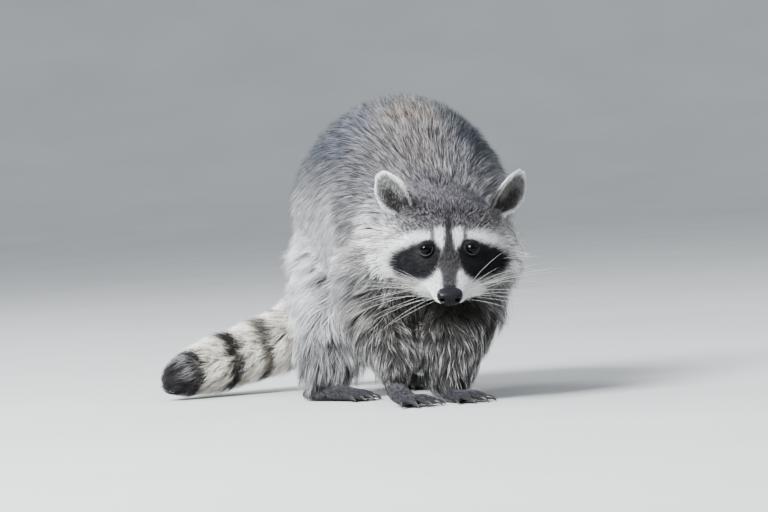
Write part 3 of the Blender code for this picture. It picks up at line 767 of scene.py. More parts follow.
for name, ground, yaw, _ in feet:
    is_hand = name.endswith("paw")
    toes, ball = (hand_toes, hand_ball) if is_hand else (foot_toes, foot_ball)
    foot_turn = Matrix.Rotation(math.radians(yaw), 3, "Z")
    points, faces = [], []
    for offset, splay, length in toes:
        ahead = foot_turn @ Vector((math.sin(math.radians(splay)), -math.cos(math.radians(splay)), 0))
        tip = Vector((*ground, 0)) + foot_turn @ Vector((offset, ball, 0)) + ahead * length
        across_toe = ahead.cross(Vector((0, 0, 1)))
        line, rings = [], []
        for t in np.linspace(0, 1, claw_rings):
            centre = tip + ahead * (-2.2 + claw_length * t) + Vector((0, 0, 4.3 + 1.8 * t - 5.4 * t**2.4))
            thick = 2.1 * (1 - t) ** 0.62 + 0.28
            line.append(centre)
            ring = []
            for turn in np.arange(claw_sides) / claw_sides * 2 * math.pi:
                upright = Vector((0, 0, thick * math.sin(turn)))
                ring.append(centre + across_toe * thick * 0.82 * math.cos(turn) + upright)
            rings.append(ring)
        claw_lines.append(placed(stance, [line[0], line[3], line[-1]]))
        claw, claw_faces = over_rings(placed(stance, rings), turned=True)
        faces += [tuple(len(points) + i for i in face) for face in claw_faces]
        points.extend(claw)
    claws = new_object("claws_" + name, mesh_of("claws_" + name, points, faces))
    low = min(v.co.z for v in claws.data.vertices)
    if low < 0:
        claws.data.transform(Matrix.Translation((0, 0, -low)))
    claws.data.materials.append(horn)
    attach(claws, "root")

# --- Eyes ---------------------------------------------------------------------------------------------
# Two wet, nearly black balls. A clear dome swells over a dark brown iris and a round pupil, and only the
# front of each ball shows between the lids.


def with_values(mesh, name, values, kind="FLOAT"):
    """Gives each vertex of a mesh a number, or a vector or colour, that its material or its tufts read."""
    field = {"FLOAT": "value", "FLOAT_VECTOR": "vector", "FLOAT_COLOR": "color"}[kind]
    layer = mesh.attributes.new(name, kind, "POINT")
    layer.data.foreach_set(field, np.ascontiguousarray(values, dtype=np.float32).ravel())


wet_eye, tree, shader = finish("eye_wet", Roughness=0.04, Specular_IOR_Level=0.12)
from_axis = Wire.node(tree, "ShaderNodeAttribute", attribute_name="off_axis", out="Fac")
threads = grain(tree, 1500.0, 3.0)
# From the pupil in the middle over the iris to the rest of the ball, by the angle off the eye's axis.
tone = Wire.node(tree, "ShaderNodeValToRGB", {0: from_axis * (1 / 90) + (threads - 0.5) * 0.03}, stops=[
    (0.17, (0.0004, 0.0004, 0.0006, 1)), (0.23, (0.0012, 0.0009, 0.0007, 1)),
    (0.36, (0.0022, 0.0016, 0.0012, 1)), (0.45, (0.0010, 0.0009, 0.0009, 1)),
    (0.60, (0.002, 0.0018, 0.0018, 1))])
wired(shader, Base_Color=tone)
ball_radius, dome_rise, ball_sides = 8.0, 0.5, 48
angles = np.radians(np.concatenate([[0.5], np.linspace(3, 60, 20), np.linspace(66, 179, 18)]))
turns = np.arange(ball_sides) / ball_sides * 2 * math.pi
for which, side in enumerate(("right", "left")):
    swell = ball_radius + dome_rise * ease(44, 14, np.degrees(angles))
    across_eye = np.cross(eye_uprights[which], eye_axes[which])
    ball = []
    for angle, far in zip(angles, swell):
        around = np.outer(np.cos(turns), across_eye) + np.outer(np.sin(turns), eye_uprights[which])
        ways = math.cos(angle) * eye_axes[which] + math.sin(angle) * around
        ball.append(np.array(eye_places[which]) + MM * far * ways)
    name = "eye_ball_" + side
    eye = new_object(name, mesh_of(name, *over_rings(np.array(ball), turned=True)))
    with_values(eye.data, "off_axis", np.repeat(np.degrees(angles), ball_sides))
    eye.data.materials.append(wet_eye)
    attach(eye, "root")
    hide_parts("eye_" + side)

# --- Lids ---------------------------------------------------------------------------------------------
# Thin dark folds of skin that hug the ball. Their edges are bare and moist and meet in a point towards
# the nose. Along the lower lid the rim is painted paler and bluish: a painted reflection on the wet edge.

lid_skin, tree, shader = finish("lid_skin", Specular_IOR_Level=0.1)
painted_rim_reflection = Wire.node(tree, "ShaderNodeAttribute", attribute_name="rim", out="Fac")
wet_share = Wire.node(tree, "ShaderNodeAttribute", attribute_name="wet", out="Fac")
creases = grain(tree, 1300.0, 4.0)
# Dark lid skin, and on the lower rim a painted reflection, paler and bluish.
tone = Wire.node(tree, "ShaderNodeValToRGB", {0: painted_rim_reflection + (creases - 0.5) * 0.25}, stops=[
    (0.0, (0.004, 0.0038, 0.0042, 1)), (0.45, (0.010, 0.0095, 0.0115, 1)), (1.0, (0.036, 0.038, 0.047, 1))])
bump = Wire.node(tree, "ShaderNodeBump", {"Height": creases, "Strength": 0.35, "Distance": 0.0002})
wired(shader, Base_Color=tone, Roughness=0.8 - wet_share * 0.35, Normal=bump)
# The lids' rings in degrees back from their edge, and how far they lie from the ball's centre there.
lid_steps = (-3, 0, 0.9, 2.2, 3.8, 6, 9, 13, 18, 24, 31, 39, 48, 58)
lid_curve = ((-3, 0, 0.9, 2.2, 3.8, 6, 9, 13, 18, 24, 58),
             (7.6, 8.1, 8.4, 8.65, 8.85, 9.0, 9.1, 9.0, 8.75, 8.45, 8.0))
lid_sides, lid_back = 72, 104
turns = np.arange(lid_sides) / lid_sides * 2 * math.pi
# lower: where the painted reflection lies, on the lower lid away from its inner corner.
lower = ease(0.1, -0.4, np.sin(turns - 0.5)) * ease(-1.0, -0.4, np.cos(turns))
for which, side in enumerate(("right", "left")):
    outer = np.cross(eye_uprights[which], eye_axes[which]) * (-1, 1)[which]
    around = np.outer(np.cos(turns), outer) + np.outer(np.sin(turns), eye_uprights[which])
    rows, painted_shade_and_sheen_rims, wets = [], [], []
    for step in lid_steps:
        far = np.interp(step, *lid_curve)
        angle = np.radians(np.minimum(lids_part(turns) + step, lid_back))[:, None]
        ways = np.cos(angle) * eye_axes[which] + np.sin(angle) * around
        rows.append(np.array(eye_places[which]) + MM * far * ways)
        wets.append(np.full(lid_sides, float(np.interp(step, (0, 4, 9), (1, 0.8, 0)))))
        painted_shade_and_sheen_rims.append(lower * np.interp(step, (-3, 0, 1.2, 3.4), (0.5, 1, 0.8, 0)))
    points, faces = over_rings(np.array(rows), turned=which == 1, caps=(False, False))
    lids = new_object("lids_" + side, mesh_of("lids_" + side, points, faces))
    with_values(lids.data, "rim", painted_shade_and_sheen_rims)
    with_values(lids.data, "wet", wets)
    lids.data.materials.append(lid_skin)
    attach(lids, "root")

# --- Nose ---------------------------------------------------------------------------------------------
# A bare black pad, moist and finely cobbled, broad and flat on top. The nostrils open in front like two
# commas, each with a slit to the side, and a furrow runs down between them to the lip.

nose_middle, nose_half, nose_squareness = (0, -53, -24), (12.9, 9.2, 9.2), 2.5
pad_rings, pad_sides = 64, 128
turns = np.arange(pad_sides) / pad_sides * 2 * math.pi
angles = np.radians(np.linspace(0.6, 178, pad_rings))[:, None] * np.ones(pad_sides)
form = np.stack([np.sin(angles) * np.cos(turns), -np.cos(angles), np.sin(angles) * np.sin(turns)], axis=-1)
form = form / (np.abs(form) ** nose_squareness).sum(axis=-1, keepdims=True) ** (1 / nose_squareness)
x, y, z = (form[..., i] * nose_half[i] for i in range(3))
# A rounded box, narrower below and flat on top. The nostrils, their slits and the furrow are pressed into
# its front, and the wings swell beside them.
x = x * (1 + 0.03 * ease(0, 6, z) - 0.22 * ease(1, -9.5, z))
z = np.where(z > 5.5, 5.5 + (z - 5.5) * 0.7, z)
front = ease(1.5, -4, y)
side_x, nostril_x = np.abs(x), 7.2
pit = np.exp(-(((side_x - nostril_x) / 2.2) ** 2 + ((z - 0.2) / 1.8) ** 2) ** 1.6)
along_slit = np.clip((side_x - nostril_x) / 4.4, 0, 1)
slit = np.exp(-((z + 0.6 + 2.2 * along_slit) / 0.75) ** 2) * ease(6.4, 7.6, side_x) * ease(12.6, 10.6, side_x)
furrow = np.exp(-(x / 0.55) ** 2) * ease(3.0, 0.5, z)
wings = np.exp(-(((side_x - 8.2) / 3.2) ** 2 + ((z - 2.4) / 3.0) ** 2))
y = y + front * (3.6 * pit + 1.5 * slit + 0.7 * furrow - 0.7 * wings)
pad = placed(skull, np.stack([x, y, z], axis=-1) + nose_middle)
nose = new_object("nose_pad", mesh_of("nose_pad", *over_rings(pad, turned=True)))
# upper: 1 on the flat top, painted greyer and bluish as a painted reflection of the sky, and rougher.
with_values(nose.data, "upper", ease(0.5, 6.8, z))
nose_skin, tree, shader = finish(
    "nose_leather", Specular_IOR_Level=0.12, Coat_Weight=0.06, Coat_Roughness=0.07)
spot = Wire.node(tree, "ShaderNodeTexCoord", out="Object")
cobbles = Wire.node(tree, "ShaderNodeTexVoronoi", {"Vector": spot, "Scale": 1150.0, "Randomness": 0.9},
                    out="Distance")
moist = grain(tree, 260.0, 3.0)
# The flat top: a painted reflection of the sky in its colour, and a drier, rougher surface.
dry_top_and_sheen = Wire.node(tree, "ShaderNodeAttribute", attribute_name="upper", out="Fac")
tone = Wire.node(tree, "ShaderNodeValToRGB", {0: dry_top_and_sheen + (moist - 0.5) * 0.35 + (cobbles - 0.4) * -0.2}, stops=[
    (0.0, (0.0016, 0.0016, 0.0018, 1)), (0.4, (0.003, 0.003, 0.0034, 1)), (1.0, (0.0068, 0.0074, 0.0094, 1))])
bump = Wire.node(tree, "ShaderNodeBump", {"Height": cobbles * -1.0, "Strength": 0.4, "Distance": 0.00025})
wired(shader, Base_Color=tone, Roughness=0.12 + moist * 0.2 + dry_top_and_sheen * 0.12, Normal=bump)
nose.data.materials.append(nose_skin)
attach(nose, "root")
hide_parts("nose")

# --- Lips ---------------------------------------------------------------------------------------------
# A narrow line of bare black skin where the closed mouth parts the fur, from under the nose back along
# both sides of the muzzle.

# One side from the middle to the corner of the mouth, in the skull's frame.
lip_half = [(0, -46, -37.5), (8, -43, -39), (14, -30, -40), (19, -12, -38), (21.5, 3, -35)]
lip_route = [(-x, y, z) for x, y, z in reversed(lip_half)] + lip_half[1:]
lip_points, lip_sides = 61, 8
shares, steps = np.linspace(0, len(lip_route) - 1, lip_points), np.arange(len(lip_route))
lip_line = placed(skull, np.column_stack([np.interp(shares, steps, column) for column in zip(*lip_route)]))
for _ in range(4):
    lip_line[1:-1] = 0.5 * lip_line[1:-1] + 0.25 * (lip_line[:-2] + lip_line[2:])
    lip_line = np.array([hide_tree.find_nearest(Vector(p))[0] for p in lip_line])
heads_on = unit(np.gradient(lip_line, axis=0))
lip_rings = []
for centre, ahead, share in zip(lip_line, heads_on, np.linspace(-1, 1, lip_points)):
    across_lip = unit(np.cross(ahead, (0, 0, 1)))
    upright = np.cross(across_lip, ahead)
    thick = 1.3 * MM * (1 - abs(share) ** 5) + 0.1 * MM
    lip_rings.append([centre + thick * (math.cos(turn) * across_lip + math.sin(turn) * upright)
                      for turn in np.arange(lip_sides) / lip_sides * 2 * math.pi])
lips = new_object("lips", mesh_of("lips", *over_rings(np.array(lip_rings), turned=True)))
lip_skin, tree, shader = finish("lip_skin", Specular_IOR_Level=0.4)
creases = grain(tree, 900.0, 4.0)
tone = Wire.node(tree, "ShaderNodeValToRGB", {0: creases},
                 stops=[(0.3, (0.008, 0.007, 0.007, 1)), (0.75, (0.03, 0.024, 0.023, 1))])
bump = Wire.node(tree, "ShaderNodeBump", {"Height": creases, "Strength": 0.4, "Distance": 0.0002})
wired(shader, Base_Color=tone, Roughness=0.35 + creases * 0.3, Normal=bump)
lips.data.materials.append(lip_skin)
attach(lips, "root")

# --- Where the tufts stand ----------------------------------------------------------------------------
# Roots are strewn over the hide, evenly but not in rows, and gathered into locks: each root leans towards
# the tip of the nearest lock, as damp, well grown fur does.

# The hide in triangles, the area of each in square centimetres, and how many tufts it wants. More roots
# are strewn than wanted, as thinning drops those that stand too close.
rng = np.random.default_rng(11)
corners = np.concatenate([quads[:, [0, 1, 2]], quads[:, [0, 2, 3]]])
corner_of_quad = np.concatenate([np.tile([0, 1, 2], (len(quads), 1)), np.tile([0, 2, 3], (len(quads), 1))])
sides = hide[corners[:, 1]] - hide[corners[:, 0]], hide[corners[:, 2]] - hide[corners[:, 0]]
area = 0.5 * np.linalg.norm(np.cross(*sides), axis=1) * 1e4
wanted = close[corners].mean(axis=1) * area
crowding = 1.9
tri = np.repeat(np.arange(len(corners)), rng.poisson(wanted * crowding))
first, second = np.sqrt(rng.random(len(tri))), rng.random(len(tri))
weights = np.stack([1 - first, first * (1 - second), first * second], axis=1)


def at_roots(values):
    """Values of the hide's vertices where the tufts stand."""
    picked = np.asarray(values, float)[corners[tri]]
    return (picked * weights.reshape(weights.shape + (1,) * (picked.ndim - 2))).sum(axis=1)


def thinned(places, radii, order):
    """Keeps places in that order, dropping any that stand within its radius of one already kept."""
    near = KDTree(len(places))
    for i, place in enumerate(places):
        near.insert(place, i)
    near.balance()
    alive = np.ones(len(places), bool)
    chosen = []
    for i in order:
        if alive[i]:
            chosen.append(i)
            for _, other, _ in near.find_range(places[i], radii[i]):
                alive[other] = False
    return np.array(chosen)


# No tuft stands within the lids' bare edge, on the nose pad, beside a claw or under a sole.
roots = at_roots(hide)
keep = np.ones(len(roots), bool)
for which in (0, 1):
    reach, off_axis, turn = round_the_eye(roots, which)
    keep &= (reach > 12) | (off_axis > lids_part(turn) + 7)
pad_reach, claw_reach, sole_height = (13.2, 9.5, 9.4), 2.6 * MM, 3 * MM
at_nose = (told_in(skull, roots) - nose_middle) / pad_reach
keep &= (at_nose**2).sum(axis=1) > 1
for start, middle, end in claw_lines:
    for a, b in ((start, middle), (middle, end)):
        share = np.clip((roots - a) @ (b - a) / ((b - a) @ (b - a)), 0, 1)
        keep &= np.linalg.norm(roots - a - share[:, None] * (b - a), axis=1) > claw_reach
keep &= ~((roots[:, 2] < sole_height) & (at_roots(hide_normal)[:, 2] < -0.3))
tri, weights = tri[keep], weights[keep]
roots = at_roots(hide)
# In metres, about two thirds of the mean gap between tufts that stand so close.
spacing = 0.0066 / np.sqrt(at_roots(close))
chosen = thinned(roots, spacing, rng.permutation(len(roots)))
tri, weights, roots = tri[chosen], weights[chosen], roots[chosen]

# What the hide says at each root.
root_normal, root_lie = unit(at_roots(hide_normal)), unit(at_roots(lie))
root_hair, root_rising = at_roots(hair), at_roots(rising)
root_loose, root_fly = at_roots(loose), at_roots(fly)
root_owner = owner[corners[tri][np.arange(len(tri)), weights.argmax(axis=1)]]


def rooted_on(*names):
    """Which roots stand on those solids."""
    return np.isin(root_owner, [solid_names.index(n) for n in names])


def gathered(reach):
    """Roots that lead a group, none within its reach of another, and the nearest leader to each root."""
    leaders = thinned(roots, reach, rng.permutation(len(roots)))
    near = KDTree(len(leaders))
    for i, leader in enumerate(leaders):
        near.insert(roots[leader], i)
    near.balance()
    return leaders, np.array([near.find(root)[1] for root in roots])


# Wide locks, and within them narrow wisps. A few wisps are strands, made pale by painted light, and one
# tuft in ten is a guard hair, longer than the rest.
lock_reach = np.interp(root_hair, (3, 8, 20, 45), (1.6, 3.0, 5.5, 8.0)) * (0.6 + 0.8 * root_loose) * MM
lock_heads, lock_of = gathered(lock_reach)
wisp_heads, wisp_of = gathered(np.interp(root_hair, (3, 8, 20, 45), (0.9, 1.3, 1.7, 1.9)) * MM)
strand = (rng.random(len(wisp_heads))[wisp_of] > 0.72) & (root_loose > 0.4)

# Each lock, and each tuft in it, turns aside, rises and grows a little more or less than its neighbours.
wild = np.interp(root_hair, (3, 10, 30), (0.09, 0.13, 0.16)) * (0.65 + 0.75 * root_loose)
turned_by = wild * rng.normal(size=len(lock_heads))[lock_of] + 0.6 * wild * rng.normal(size=len(roots))
raised_by = 1 + (0.04 + 0.09 * root_loose) * rng.normal(size=len(lock_heads))[lock_of]
raised_by = raised_by * (0.95 + (0.05 + 0.09 * root_loose) * rng.normal(size=len(roots)))
long_by = (1 + 0.10 * rng.normal(size=len(lock_heads)))[lock_of] * (1 + 0.10 * rng.normal(size=len(roots)))
guard = (rng.random(len(roots)) < 0.10) & (root_hair > 20)
raised_by = np.clip(np.where(guard, raised_by * (1.06 + 0.2 * root_loose), raised_by), 0.35, 1.5)
long_by = np.where(guard | strand, long_by * 1.15, long_by)
raised_by = np.where(strand, raised_by * 1.12, raised_by)

# A tuft's tip lies its length away along the coat, as high over the hide there as the hair comes.
root_side = np.cross(root_normal, root_lie)
heading = root_lie * np.cos(turned_by)[:, None] + root_side * np.sin(turned_by)[:, None]
length = root_hair * long_by * MM
lift = root_rising * raised_by * MM
reach = np.sqrt(np.maximum(length**2 - lift**2, (0.35 * length) ** 2))
aims = roots + heading * reach[:, None]
tips = np.zeros_like(roots)
for i, aim in enumerate(aims):
    place, _, quad, _ = hide_tree.find_nearest(Vector(aim))
    normal = hide_normal[quads[quad]].mean(axis=0)
    height = normal * rising[quads[quad]].mean() * MM * raised_by[i]
    tips[i] = np.array(place) + height + root_fly[i] * (aim - place)

# Each tip is drawn to the tip of its lock's leader, then to that of its wisp's.
pull = np.interp(root_hair, (3, 8, 20, 45), (0.08, 0.18, 0.36, 0.42)) * (0.35 + 1.25 * root_loose)
pull = pull * (0.6 + 0.8 * rng.random(len(roots)))
pull = np.where(guard, 0.1, pull)[:, None]
lock_root, lock_tip = roots[lock_heads][lock_of], tips[lock_heads][lock_of]
tips = tips + pull * (lock_tip + 0.2 * (roots - lock_root) - tips)
wisp_root, wisp_tip = roots[wisp_heads][wisp_of], tips[wisp_heads][wisp_of]
gather = np.where(strand, 0.8, 0.18 + 0.17 * root_loose)[:, None] * (root_hair > 9)[:, None]
tips = tips + gather * (wisp_tip + 0.15 * (roots - wisp_root) - tips)

# Each tuft rises steeply and bends over before it is halfway along, and none sinks into the floor.
bends = roots + heading * (reach * 0.42)[:, None] + root_normal * (lift * 0.9)[:, None]
tips[:, 2] = np.maximum(tips[:, 2], 0.6 * MM)
bends[:, 2] = np.maximum(bends[:, 2], 0.8 * MM)
tuft_width = np.interp(root_hair, (3, 6, 14, 30, 45), (0.52, 0.58, 0.68, 0.78, 0.82)) * MM
tuft_width = tuft_width * np.where(root_loose > 0.6, 0.78, 1.0)
tuft_width = np.where(guard, 0.6 * MM, tuft_width) * (0.8 + 0.4 * rng.random(len(roots)))

# A tuft takes its colours from where its end shows. Small wisps of it share their luck: dark tip or pale.
seen_at = roots + np.interp(root_hair, (4, 20), (0.7, 0.84))[:, None] * (tips - roots)
stray = np.interp(root_hair, (3, 8, 30), (0.55, 1.1, 2.2))[:, None] * MM
seen_tail = down_the_tail(seen_at)[0] + 2 * MM * rng.normal(size=len(roots))
deep, middle, tip_colour, black_share = paint(
    seen_at + stray * rng.normal(size=roots.shape), root_normal, seen_tail, rooted_on)
own_luck = rng.random(len(roots))
luck = np.where(rng.random(len(roots)) < 0.74, rng.random(len(wisp_heads))[wisp_of], own_luck)
black_tip = (luck < black_share)[:, None]
on_feet = rooted_on("front_left_paw", "front_right_paw", "hind_left_foot", "hind_right_foot")
uneven = np.interp(root_hair, (3, 8, 25), (0.05, 0.10, 0.16)) + 0.26 * on_feet
shade = 1 + uneven * (rng.normal(size=len(wisp_heads))[wisp_of] + 0.7 * rng.normal(size=len(roots)))
shade = np.clip(shade, 0.5, 1.5)[:, None]

# Painted shade darkens the hanging hair of neck and legs, most on the front legs and low on the hind
# legs, and painted light makes the pale strands in it brighter.
root_level = told_in(stance, roots)[:, 2]
painted_shade = np.where(rooted_on("neck"), np.interp(root_loose, (0.35, 0.8), (1.0, 0.85)), 1.0)
painted_shade = np.where(rooted_on("front_left_leg", "front_right_leg"), 0.25, painted_shade)
thigh_painted_shade = np.interp(root_level, (36, 90), (0.47, 0.80))
painted_shade = np.where(rooted_on("hind_left_leg", "hind_right_leg"), thigh_painted_shade, painted_shade)
painted_light_and_shade = np.where(strand, 1.35, painted_shade)[:, None]
black_tip = black_tip & ~strand[:, None]
middle = np.where(black_tip, 0.65 * middle + 0.35 * tip_colour, middle) * shade * painted_light_and_shade
tip_colour = np.where(black_tip, tip_colour * 0.08, tip_colour * shade * painted_light_and_shade)
middle, tip_colour = np.minimum(middle, 0.92), np.minimum(tip_colour, 0.95)

# --- Coat ---------------------------------------------------------------------------------------------
# Thousands of thin solid tufts, thick near the root and drawn out to a point. Each rises from the hide,
# bends over and lies along the body. The coat is made in lengths: face, crown, neck, trunk, legs, tail
# and feet.

coat, tree, shader = finish("coat_hair", Roughness=0.62, Specular_IOR_Level=0.14)
along_hair = Wire.node(tree, "ShaderNodeAttribute", attribute_name="along", out="Fac")
hair_lot = Wire.node(tree, "ShaderNodeAttribute", attribute_name="lot", out="Fac")
tuft_colours = [Wire.node(tree, "ShaderNodeAttribute", attribute_name=label, out="Color")
                for label in ("deep_colour", "middle_colour", "tip_colour")]


def soft_step(tree, low, high, value):
    """Rises smoothly from 0 to 1 between low and high."""
    return Wire.node(tree, "ShaderNodeMapRange", {"Value": value, "From Min": low, "From Max": high},
                     interpolation_type="SMOOTHSTEP")


def joined_colour(tree, share, first, second):
    """Goes from the first colour to the second. Sockets 0, 6 and 7 of the node are those for colours."""
    return Wire.node(tree, "ShaderNodeMix", {0: share, 6: first, 7: second}, out=2, data_type="RGBA")


lower = soft_step(tree, 0.05, 0.45, along_hair)
upper = soft_step(tree, 0.48, 0.80, along_hair + (hair_lot - 0.5) * 0.2)
lower_colour = joined_colour(tree, lower, tuft_colours[0], tuft_colours[1])
colour = joined_colour(tree, upper, lower_colour, tuft_colours[2])
wired(shader, Base_Color=colour, Roughness=0.5 + hair_lot * 0.25)


def tuft_maker(name, rings):
    """A node tree that grows a tapering three-sided tuft with that many lengths at every root."""
    tree = bpy.data.node_groups.new(name, "GeometryNodeTree")
    tree.interface.new_socket("Roots", in_out="INPUT", socket_type="NodeSocketGeometry")
    for label, kind, value in (("Flatness", "NodeSocketFloat", 0.6), ("Patch", "NodeSocketFloat", 0.003),
                               ("Hair", "NodeSocketMaterial", coat)):
        tree.interface.new_socket(label, in_out="INPUT", socket_type=kind).default_value = value
    tree.interface.new_socket("Tufts", in_out="OUTPUT", socket_type="NodeSocketGeometry")
    entry = tree.nodes.new("NodeGroupInput")
    given = {socket.name: Wire(socket) for socket in entry.outputs if socket.name}

    def stored(geometry, label, value, kind, domain="POINT"):
        """The geometry with that value kept on it under that label."""
        return Wire.node(tree, "GeometryNodeStoreNamedAttribute",
                         {"Geometry": geometry, "Name": label, "Value": value}, data_type=kind, domain=domain)

    def read(label, kind="FLOAT_VECTOR"):
        """What the geometry says under that label."""
        return Wire.node(tree, "GeometryNodeInputNamedAttribute", {"Name": label}, data_type=kind)

    # One upright spike, which keeps how far along and on which side of it each point lies.
    spike = Wire.node(tree, "GeometryNodeMeshCone", {"Vertices": 3, "Side Segments": rings, "Radius Top": 0.0,
                      "Radius Bottom": 1.0, "Depth": 1.0}, out="Mesh")
    here = Wire.node(tree, "GeometryNodeInputPosition")
    apart = tree.nodes.new("ShaderNodeSeparateXYZ")
    tree.links.new(here.socket, apart.inputs[0])
    rise = Wire(apart.outputs["Z"])
    flat = Wire.node(tree, "ShaderNodeVectorMath", {0: Wire.node(
        tree, "ShaderNodeCombineXYZ", {"X": Wire(apart.outputs["X"]), "Y": Wire(apart.outputs["Y"])})},
        operation="NORMALIZE")
    spin = Wire.node(tree, "ShaderNodeVectorRotate", {"Vector": flat, "Angle": math.radians(30)},
                     rotation_type="Z_AXIS")
    spike = stored(stored(spike, "along", rise, "FLOAT"), "around", spin, "FLOAT_VECTOR")
    sown = Wire.node(tree, "GeometryNodeMeshToPoints", {"Mesh": given["Roots"]})
    strewn = Wire.node(tree, "GeometryNodeInstanceOnPoints", {"Points": sown, "Instance": spike})
    realized = Wire.node(tree, "GeometryNodeRealizeInstances", {"Geometry": strewn})

    # The spike is laid along a curve from root over bend to tip, and flattened against the hide.
    t, around = read("along", "FLOAT"), read("around")
    root, bend, tip, side = read("root"), read("bend"), read("tip"), read("side")
    rest = 1 - t
    line = root * (rest * rest) + bend * (t * rest * 2) + tip * (t * t)
    slope = (bend - root) * rest + (tip - bend) * t
    run = Wire.node(tree, "ShaderNodeVectorMath", {0: slope}, operation="NORMALIZE")
    over = Wire.node(tree, "ShaderNodeVectorMath", {0: side, 1: run}, operation="CROSS_PRODUCT")
    ways = tree.nodes.new("ShaderNodeSeparateXYZ")
    tree.links.new(around.socket, ways.inputs[0])
    way_x, way_y = Wire(ways.outputs["X"]), Wire(ways.outputs["Y"])
    thick = read("thick", "FLOAT") * ((0.55 + t * 1.5) * rest)
    spread = side * (way_x * thick) + over * (way_y * thick * given["Flatness"])
    shaped = Wire.node(tree, "GeometryNodeSetPosition", {"Geometry": realized, "Position": line + spread})

    # The tuft's place on the hide's unwrap, as a small patch, is its own map for later baking.
    patch = Wire.node(tree, "ShaderNodeCombineXYZ", {"X": way_x * 0.5, "Y": t - 0.5})
    shaped = stored(shaped, "OFBake", read("place") + patch * given["Patch"], "FLOAT2", "CORNER")
    for label in ("around", "root", "bend", "tip", "side", "thick", "place"):
        shaped = Wire.node(tree, "GeometryNodeRemoveAttribute", {"Geometry": shaped, "Name": label})
    painted = Wire.node(tree, "GeometryNodeSetMaterial", {"Geometry": shaped, "Material": given["Hair"]})
    tree.links.new(painted.socket, tree.nodes.new("NodeGroupOutput").inputs["Tufts"])
    return tree


def grow_tufts(seed, maker, **given):
    """Turns a piece's roots into tufts. given names the maker's inputs that differ from its own values."""
    grow = seed.modifiers.new("Grow", "NODES")
    grow.node_group = maker
    for item in maker.interface.items_tree:
        if item.in_out == "INPUT" and item.name in given:
            grow[item.identifier] = given[item.name]
    bpy.context.view_layer.update()
    tufts = bpy.data.meshes.new_from_object(seed.evaluated_get(bpy.context.evaluated_depsgraph_get()))
    seed.modifiers.remove(grow)
    seed.data = tufts
    tufts.shade_smooth()


def opaque(colours):
    """Colours with a fourth column of ones."""
    return np.column_stack([colours, np.ones(len(colours))])


short_tuft, long_tuft = tuft_maker("short_tuft", 2), tuft_maker("long_tuft", 3)
root_quad = tri % len(quads)
quad_middle = hide[quads].mean(axis=1)
quad_stance = told_in(stance, quad_middle)
quad_hair = hair[quads].mean(axis=1)


def quads_on(*names):
    """Which quads of the hide lie on those solids."""
    return on(*names)[quads[:, 0]]


quad_along = told_in(skull, quad_middle)[:, 1]
head_quads = (on_head | on_jaw)[quads[:, 0]]
trunk_quads = quads_on("trunk")
quad_back, quad_level = quad_stance[:, 1], quad_stance[:, 2]
# Name, the quads it grows on, the kind of tuft, and the slot it belongs to.
lengths_of_coat = (
    ("coat_muzzle", head_quads & (quad_along < 8), short_tuft, "face_coat"),
    ("coat_face", head_quads & (quad_along >= 8) & (quad_hair < 17), short_tuft, "face_coat"),
    ("coat_cheeks", head_quads & (quad_along >= 8) & (quad_hair >= 17), long_tuft, "face_coat"),
    ("coat_ears", quads_on("ear_left", "ear_right"), short_tuft, "ears"),
    ("coat_neck", quads_on("neck"), long_tuft, "body_coat"),
    ("coat_shoulders", trunk_quads & (quad_back < 165), short_tuft, "body_coat"),
    ("coat_ribs", trunk_quads & (quad_back >= 165) & (quad_back < 225), short_tuft, "body_coat"),
    ("coat_loins", trunk_quads & (quad_back >= 225) & (quad_back < 285), short_tuft, "body_coat"),
    ("coat_rump", trunk_quads & (quad_back >= 285) & (quad_level >= 165), short_tuft, "body_coat"),
    ("coat_haunches", trunk_quads & (quad_back >= 285) & (quad_level < 165), short_tuft, "body_coat"),
    ("coat_front_legs", on_front_leg[quads[:, 0]], long_tuft, "leg_coat"),
    ("coat_hind_left_leg", quads_on("hind_left_leg"), short_tuft, "leg_coat"),
    ("coat_hind_right_leg", quads_on("hind_right_leg"), long_tuft, "leg_coat"),
    ("coat_tail", on_tail[quads[:, 0]], long_tuft, "tail_coat"),
    ("coat_feet", on_foot[quads[:, 0]], short_tuft, "feet"),
)
